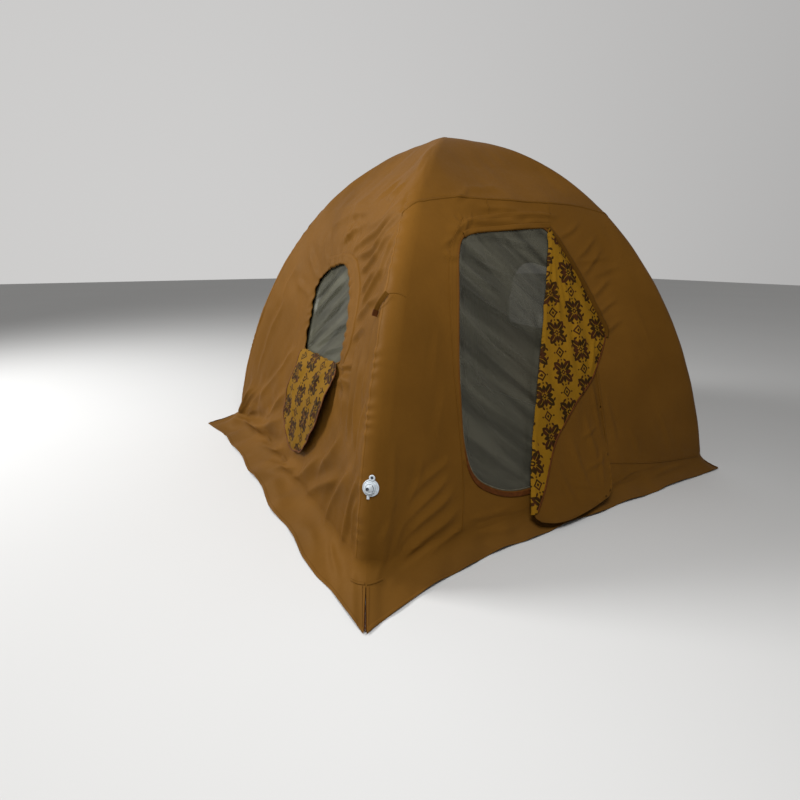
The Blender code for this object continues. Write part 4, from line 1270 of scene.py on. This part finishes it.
def make_door_flap():
    """Outer side of the flap, which hangs from the sewn edge under the lining."""
    left = tuple((x + 0.012, v) for x, v in FOLD_LINE[::-1])
    outline = np.array(FLAP_RIGHT[::-1] + left + FLAP_FOOT[::-1])
    uv, faces = region(anticlockwise(resample(outline[::-1], 0.010, True)), COARSE_STEP)
    X, V = uv.T
    top = smooth(V, 1.60, 1.78)
    height = (FLAP_STAND + flare(V)) * (1 - top) + FLAP_TOP * top
    bends = creases(X, V, FLAP_FOLDS) + ripple(X, V, 0.24, 0.0020, 1.5, 91)
    height = height + np.maximum(bends, -0.0025) * smooth(0.86 - V, 0.0, 0.2)
    sewn = smooth(X, 0.33, 0.385) * smooth(V, 0.30, 0.50) * (1 - top)
    height = height * (1 - sewn) + (wall_height(X, V) + FLAP_SEAM) * sewn
    points = plane(X, V, np.maximum(height, FLAP_LEAST * (1 - top)))
    obj = make_piece("door_flap_cloth", points, faces, uv, FLAP_FABRIC, "door", replaces=["door_flap"])
    X, V = np.vstack([resample(FLAP_RIGHT[4:], 0.01), resample(FLAP_FOOT, 0.01)]).T
    line = plane(X, V, DOOR_STAND + 0.0045 + flare(V))
    return obj, bound_edge("door_flap_hem", line, DOOR_OUTWARD, HEM_WIDE, HEM_THICK, FLAP_FABRIC, body="door")


# A window's screen: how far it goes under the wall, how deep it lies and how far it bows; and its hem.
SCREEN_UNDER, SET_BACK, BOW = 0.012, 0.018, 0.008
WINDOW_HEM, WINDOW_HEM_LIFT, WINDOW_HEM_SHIFT = 0.013, 0.0035, -0.003


def make_window_screen(side, seed):
    """Screen set back in its opening, with the gathered hem round it."""
    edge = WINDOW_EDGE[side]
    uv, faces = region(shrunk(edge, -SCREEN_UNDER), COARSE_STEP)
    X, V = uv.T
    slack = smooth(edge_gap(X, V, edge), 0.0, 0.06)
    folds = ripple(X, V, 0.24, 0.0025, 0.65, seed + 2, 7) + creases(X, V, WINDOW_FOLDS)
    points = above(side, X, V, -SET_BACK - BOW * slack + slack * folds)
    screen = make_piece("window_screen_" + side, points, faces, uv, SCREEN_WINDOW, "tent", "grey_screen",
                        ["window_mesh_" + side])
    return screen, ribbon("window_hem_" + side, side, edge, WINDOW_HEM, WINDOW_HEM_LIFT, HEM_FABRIC, True,
                          WINDOW_HEM_SHIFT)


def cover_stand(X, V, seed):
    """How far a hanging cover stands off the wall: flat where it is sewn, with a belly below."""
    down = np.clip((0.94 - V) / 0.70, 0, 1)
    belly = 0.006 + 0.040 * np.sin(math.pi * down ** 0.8) + 0.012 * down
    side_turn = 0.012 * smooth(X, 0.30, 0.54) - 0.006 * smooth(X, 0.02, -0.20)
    return np.maximum(belly + side_turn * smooth(down, 0.05, 0.3) + creases(X, V, COVER_FOLDS)
                      + ripple(X, V, 0.20, 0.0025, 1.3, seed + 4), 0.006)


def make_window_cover(side, seed):
    """Printed cover that hangs below a window, with its bound edge."""
    def hanging(X, V):
        return above(side, X, V, np.maximum(relief(side, X, V), 0) + cover_stand(X, V, seed))
    edge = wavy(anticlockwise(resample(COVER, EDGE_STEP, True)), 0.003, 0.16, seed + 5)
    uv, faces = region(edge, COVER_STEP)
    # The covers' darker print is painted shade.
    cover = make_piece("window_cover_" + side, hanging(*uv.T), faces, uv, SHADED_PRINT_COVER, "tent",
                       "yellow_lining", ["window_flap_" + side])
    X, V = opened(edge[edge[:, 1] < 0.91]).T
    return cover, bound_edge("window_binding_" + side, hanging(X, V), normal(side, X, V), 0.013,
                             BINDING_THICK, TAPE_CLOTH, slot="orange_tape")


def make_window(side, seed):
    """Screen, hem, cover and binding of one window."""
    return (*make_window_screen(side, seed), *make_window_cover(side, seed))


# Sides of a lathed form.
TURNED_SIDES = 40
# Slope height of the valve.
VALVE_V = 0.468
# Radius and height pairs of the valve's lathed parts, in metres.
VALVE_BODY = ((0.0385, -0.004), (0.0405, 0.000), (0.0420, 0.003), (0.0415, 0.006), (0.0395, 0.0078),
              (0.0370, 0.0080), (0.0360, 0.0070), (0.0335, 0.0070), (0.0325, 0.0085), (0.0300, 0.0100),
              (0.0285, 0.0100), (0.0005, 0.0100))
VALVE_CAP = ((0.0255, 0.0090), (0.0262, 0.0120), (0.0262, 0.0200), (0.0250, 0.0228), (0.0225, 0.0240),
             (0.0215, 0.0228), (0.0190, 0.0226), (0.0182, 0.0240), (0.0004, 0.0250))
VALVE_KNOB = ((0.0082, 0.0235), (0.0082, 0.0262), (0.0070, 0.0272), (0.0062, 0.0262), (0.0060, 0.0255),
              (0.0003, 0.0254))
TETHER_EYE = ((0.0078, 0.0), (0.0078, 0.0015), (0.0070, 0.0020), (0.0003, 0.0020))


def turned_shape(name, centre, outward, across, profile, material, replaced=()):
    """Lathed form from radius and height pairs."""
    a = np.linspace(0, 2 * math.pi, TURNED_SIDES + 1)[:-1, None]
    ring = np.cos(a) * across + np.sin(a) * np.cross(outward, across)
    sections = np.stack([centre + radius * ring + height * outward for radius, height in profile])
    faces = loft(sections, False, True)[:, ::-1]
    uv = np.stack([sections[..., 0], sections[..., 2]], -1).reshape(-1, 2)
    return make_piece(name, sections.reshape(-1, 3), faces, uv, material, "tent", "white_plastic", replaced)


def make_valve():
    """Inflation valve: flange, stepped cap with an off-centre core, tether ring above and pull tab below."""
    x = -(half_at(VALVE_V) + QUARTER / 2)
    outward = normal("front", np.array([x]), np.array([VALVE_V]))[0]
    across = unit(np.cross(np.array((0.0, 0.0, 1.0)), outward))
    up = np.cross(outward, across)
    seat = np.array(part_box("valve_flange")).mean(0) - 0.005 * outward

    def lathed(name, centre, profile, material=PLASTIC, replaced=()):
        turned_shape(name, centre, outward, across, profile, material, replaced)

    def strip(name, points, wide, thick, material=PLASTIC, closed=False):
        bound_edge(name, np.stack(points), outward, wide, thick, material, closed, slot="white_plastic")

    def arc(centre, radius, angles):
        return [centre + radius * (math.cos(a) * across + math.sin(a) * up) for a in angles]
    lathed("valve_body", seat, VALVE_BODY, replaced=["valve_flange", "valve_cap"])
    lathed("valve_cover_cap", seat, VALVE_CAP)
    lathed("valve_core_knob", seat - 0.0105 * across - 0.004 * up, VALVE_KNOB, DARK_PLASTIC)
    bow = arc(seat, 0.0205, np.linspace(-0.9, 0.9, 15))
    strip("valve_cap_groove", [point + 0.0246 * outward for point in bow], 0.0022, 0.0012, DARK_PLASTIC)
    eye = seat + 0.049 * up + 0.008 * outward + 0.004 * across
    strip("valve_tether_ring", arc(eye, 0.0115, np.linspace(0, 2 * math.pi, 25)[:-1]), 0.0085, 0.0045,
          closed=True)
    lathed("valve_tether_eye", eye - 0.0015 * outward, TETHER_EYE, DARK_PLASTIC)
    tab = [seat - (0.036 + 0.018 * s) * up - 0.008 * across + (0.009 + 0.001 * math.sin(3 * s)) * outward
           for s in np.linspace(0, 1, 8)]
    strip("valve_pull_tab", tab, 0.014, 0.003)
    neck = [seat + (0.034 + 0.006 * s) * up + 0.003 * across + 0.008 * outward for s in np.linspace(0, 1, 5)]
    strip("valve_tether_neck", neck, 0.009, 0.003)


# The strap's upper end, how far it runs from there, and its section.
STRAP_TOP, STRAP_RUN = (1.037, 1.425), (0.046, 0.115)
STRAP_WIDE, STRAP_THICK = 0.026, 0.0026


def make_strap():
    """Short webbing loop sewn under the arc seam, with a folded tape end."""
    run = np.linspace(0, 1, 22)
    X, V = (top - part * run for top, part in zip(STRAP_TOP, STRAP_RUN))
    around = skin_relief("left", X[:, None] + np.linspace(-0.016, 0.016, 5), V[:, None] + np.zeros(5))
    lift = np.maximum(around.max(), 0) + 0.013 + 0.004 * np.sin(math.pi * run)
    line = above("left", X, V, lift)
    facing = unit(0.45 * normal("left", X, V) + np.array((0.0, -0.89, 0.0)))
    bound_edge("strap_webbing", line, facing, STRAP_WIDE, STRAP_THICK, HEM_FABRIC, replaces=["strap_loop"])
    bound_edge("strap_end_tape", line[-7:], facing[-7:], 0.030, 0.0060, TAPE_CLOTH, slot="orange_tape")


def make_roof_and_sleeve_seams():
    """Seam under the roof on two sides, and the seams beside the sleeves."""
    seams = []
    mirrored = tuple((-x, v) for x, v in ROOF_SEAM_END[::-1])
    middle = tuple((x, V_SEAM - 0.003) for x in np.linspace(-0.42, 0.42, 20))
    for side in ("front", "back"):
        seams.append(ribbon(f"roof_seam_{side}", side, ROOF_SEAM_END + middle + mirrored, 0.014, 0.0028,
                            HEM_FABRIC))
    for side in ("left", "right"):
        for hand in (-1, 1):
            levels = np.linspace(V_JOINT - 0.01, 1.81, 76)
            path = [(hand * (float(half_at(v)) + QUARTER * SEAM_SHARE - 0.008), v) for v in levels]
            name = f"sleeve_seam_{NEIGHBOUR[side][hand]}_{side}"
            # The lighter seam cloth paints the highlight of the gathers along the arches.
            seams.append(ribbon(name, side, path, 0.026, 0.0014, SEAM_HIGHLIGHT_FABRIC))
    return seams


def make_skirt_seams():
    """Hem and slit tapes of each skirt, and the seams along two of the walls."""
    seams = []
    foot = V_JOINT - SKIRT_LENGTH
    for side in ANGLES:
        if side == "right":
            path = [(x, V_JOINT + 0.004) for x in np.linspace(-DIAGONAL + 0.02, DIAGONAL - 0.02, 60)]
            seams.append(ribbon("skirt_seam_right", side, path, 0.014, 0.0030, HEM_FABRIC))
        across = np.linspace(-1, 1, 120) * (DIAGONAL - SLIT_WIDTH / 2)
        path = np.stack([across, skirt_edge(side, across, np.full(across.shape, foot)) + 0.005], -1)
        seams.append(ribbon(f"skirt_hem_{side}", side, path, 0.010, 0.0015, FABRIC))
        for hand, word in ((-1, "a"), (1, "b")):
            path = [(hand * (DIAGONAL - 0.009), v) for v in np.linspace(0.03, foot + 0.006, 12)]
            seams.append(ribbon(f"skirt_slit_tape_{side}_{word}", side, path, 0.016, -0.0040, TAPE_CLOTH,
                                slot="orange_tape"))
    path = ((0.356, 0.252), (0.60, 0.20), (0.90, 0.15), (1.32, 0.108))
    seams.append(ribbon("skirt_seam_front", "front", path, 0.012, 0.0028, HEM_FABRIC))
    return seams


def make_doorway_seams():
    """Facing, hems, folds and tape round the doorway, and the rim over the lining."""
    def sewn(name, path, width, lift, material=HEM_FABRIC, centre=0.0):
        return ribbon(name, "front", path, width, lift, material, centre=centre)
    flap_side = ((0.404, 0.34), (0.407, 0.45), (0.424, 0.90), (0.434, 1.26))
    facing_foot = FACING_EDGE[3:] + ((-0.79, 0.30), (-0.832, 0.132))
    seams = [strip_between("doorway_facing", "front", FACING_EDGE, DOORWAY[:14], 0.0028, BAND_FABRIC),
             sewn("doorway_hem", DOORWAY[25:] + DOORWAY[:23], 0.014, 0.0048, EDGE_FABRIC, -0.004),
             sewn("lintel_fold", LINTEL, 0.036, 0.0085, FABRIC),
             sewn("flap_side_seam", flap_side, 0.013, 0.0030),
             sewn("facing_seam", facing_foot, 0.008, 0.0036)]
    for number, x in enumerate((-0.27, 0.232)):
        path = ((x, 1.885 + 0.02 * number), (x + 0.004, V_SEAM - 0.006))
        seams.append(sewn(f"lintel_seam_{number}", path, 0.010, 0.0025))
    seams.append(strip_between("doorway_tape", "front", DOORWAY[12:21], TAPE_EDGE, 0.0070, TAPE_CLOTH,
                               slot="orange_tape"))
    rim = [(x + 0.004, v + 0.002) for x, v in RIM]
    # The rim roll's dark cloth is painted shadow beside the lining.
    seams.append(sewn("rim_roll", rim[::-1], 0.024, 0.0125, RIM_SHADOW_FABRIC))
    return seams


# Slope height of the arc seam.
ARC_V = 1.42


def make_corner_seams():
    """Arc seam over the near sleeve, and the hems at its foot."""
    half = float(half_at(ARC_V))
    arc = [(-(half + QUARTER * s), ARC_V + 0.010 * math.sin(math.pi * s)) for s in np.linspace(0.93, 0, 12)]
    front = ((-DIAGONAL + 0.085, 0.045), (-DIAGONAL + 0.04, 0.040), (-DIAGONAL + 0.006, 0.038))
    left = ((DIAGONAL - 0.10, 0.020), (DIAGONAL - 0.05, 0.030), (DIAGONAL - 0.006, 0.038))
    return [ribbon("arc_seam", "front", arc, 0.008, 0.0018, HEM_FABRIC),
            ribbon("corner_hem_front", "front", front, 0.010, 0.0035, HEM_FABRIC),
            ribbon("corner_hem_left", "left", left, 0.010, 0.0035, HEM_FABRIC)]


def make_seams():
    """Roof seams, sleeve seams, facing bands, tapes and hems."""
    seams = make_roof_and_sleeve_seams() + make_skirt_seams() + make_doorway_seams() + make_corner_seams()
    inner = (WINDOW[-1],) + WINDOW[1:8] + (WINDOW[9],)
    for side in ("left", "right", "back"):
        seams.append(strip_between("window_facing_" + side, side, WINDOW_BAND[::-1], inner[::-1], 0.0080,
                                   BAND_FABRIC))
    return seams


LEGS = ["air_leg_front_left", "air_leg_front_right", "air_leg_back_right", "air_leg_back_left"]


def dress_solids():
    """Finished materials for the solids that stay."""
    looks = {"door_hem_cord": FLAP_FABRIC, **dict.fromkeys(LEGS + ["air_crown"], RUBBER)}
    for name, material in looks.items():
        for material_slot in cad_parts[name].material_slots:
            material_slot.material = material


SENSOR = 36.0


def make_camera():
    """The photograph's view."""
    direction = Vector((-math.sin(YAW) * math.cos(PITCH), math.cos(YAW) * math.cos(PITCH), -math.sin(PITCH)))
    right = Vector((math.cos(YAW), math.sin(YAW), 0.0))
    up = right.cross(direction)
    level = math.cos(ROLL) * right + math.sin(ROLL) * up
    above_it = -math.sin(ROLL) * right + math.cos(ROLL) * up
    data = bpy.data.cameras.new("view")
    data.sensor_width = SENSOR
    data.sensor_fit = "HORIZONTAL"
    data.lens = SENSOR * FOCAL
    data.clip_end = 60.0
    camera = bpy.data.objects.new("view", data)
    bpy.context.scene.collection.objects.link(camera)
    rows = [(*parts, place) for *parts, place in zip(level, above_it, -direction, EYE)]
    camera.matrix_world = Matrix((*rows, (0, 0, 0, 1)))
    bpy.context.scene.camera = camera


def area_light(name, place, target, size, energy):
    data = bpy.data.lights.new(name, "AREA")
    data.size = size
    data.energy = energy
    obj = bpy.data.objects.new(name, data)
    bpy.context.scene.collection.objects.link(obj)
    obj.location = place
    obj.rotation_euler = (Vector(target) - Vector(place)).to_track_quat("-Z", "Y").to_euler()
    obj.visible_camera = False


# Half the studio floor's side, and how the surround's strength changes from front to back.
FLOOR_REACH = 30.0
SKY_SLOPE, SKY_LEVEL = 0.28, 0.34


def make_floor():
    n = Nodes("studio_floor", roughness=0.95, specular=0.1)
    n.set("Base Color", n.mix(n.noise(n.place, 0.4), (0.56, 0.56, 0.555), (0.59, 0.59, 0.585)))
    floor = bpy.data.meshes.new("studio_floor")
    corners = [(x * FLOOR_REACH, y * FLOOR_REACH, 0) for x, y in ((-1, -1), (1, -1), (1, 1), (-1, 1))]
    floor.from_pydata(corners, [], [(0, 1, 2, 3)])
    floor.materials.append(n.material)
    obj = bpy.data.objects.new("studio_floor", floor)
    bpy.context.scene.collection.objects.link(obj)


def make_sky():
    """Even surround, a little lighter towards the back."""
    world = bpy.data.worlds.new("studio")
    bpy.context.scene.world = world
    world.use_nodes = True
    tree = world.node_tree
    background = tree.nodes["Background"]
    background.inputs["Color"].default_value = (1.0, 0.99, 0.98, 1.0)
    around = tree.nodes.new("ShaderNodeTexCoord")
    parts = tree.nodes.new("ShaderNodeSeparateXYZ")
    fade = tree.nodes.new("ShaderNodeMath")
    fade.operation = "MULTIPLY_ADD"
    fade.inputs[1].default_value = SKY_SLOPE
    fade.inputs[2].default_value = SKY_LEVEL
    tree.links.new(around.outputs["Generated"], parts.inputs[0])
    tree.links.new(parts.outputs["Y"], fade.inputs[0])
    tree.links.new(fade.outputs[0], background.inputs["Strength"])


def make_studio():
    """Pale floor, even surround and soft lamps."""
    make_floor()
    make_sky()
    area_light("key", (-6.4, 3.7, 5.2), (-0.4, -0.2, 1.0), 2.4, 740.0)
    area_light("fill", (-1.6, -2.8, 3.8), (-0.1, -0.6, 0.9), 1.4, 120.0)
    bpy.context.scene.view_settings.view_transform = "Standard"


def main():
    make_camera()
    make_studio()
    dress_solids()
    front = make_end_panel("front", 258, 162, DOOR_EDGE, [
        "arch_sleeve_front_left", "arch_sleeve_front_right", "front_wall_left", "front_wall_right",
        "front_wall_sill", "front_wall_lintel"])
    back = make_end_panel("back", 200, 120, WINDOW_EDGE["back"], [
        "arch_sleeve_back_right", "arch_sleeve_back_left", "back_wall_lower", "back_wall_upper"])
    canopy = make_canopy()
    floor = make_groundsheet()
    seams = make_seams()
    for side in ANGLES:
        skirt, foot = make_skirt(side, 240, 16)
    screen, zipper = make_door_screen()
    flap, flap_hem = make_door_flap()
    lining, binding = make_door_lining()
    for side, seed in (("left", 101), ("right", 111), ("back", 121)):
        screen, hem, cover, binding = make_window(side, seed)
    make_valve()
    make_strap()


main()
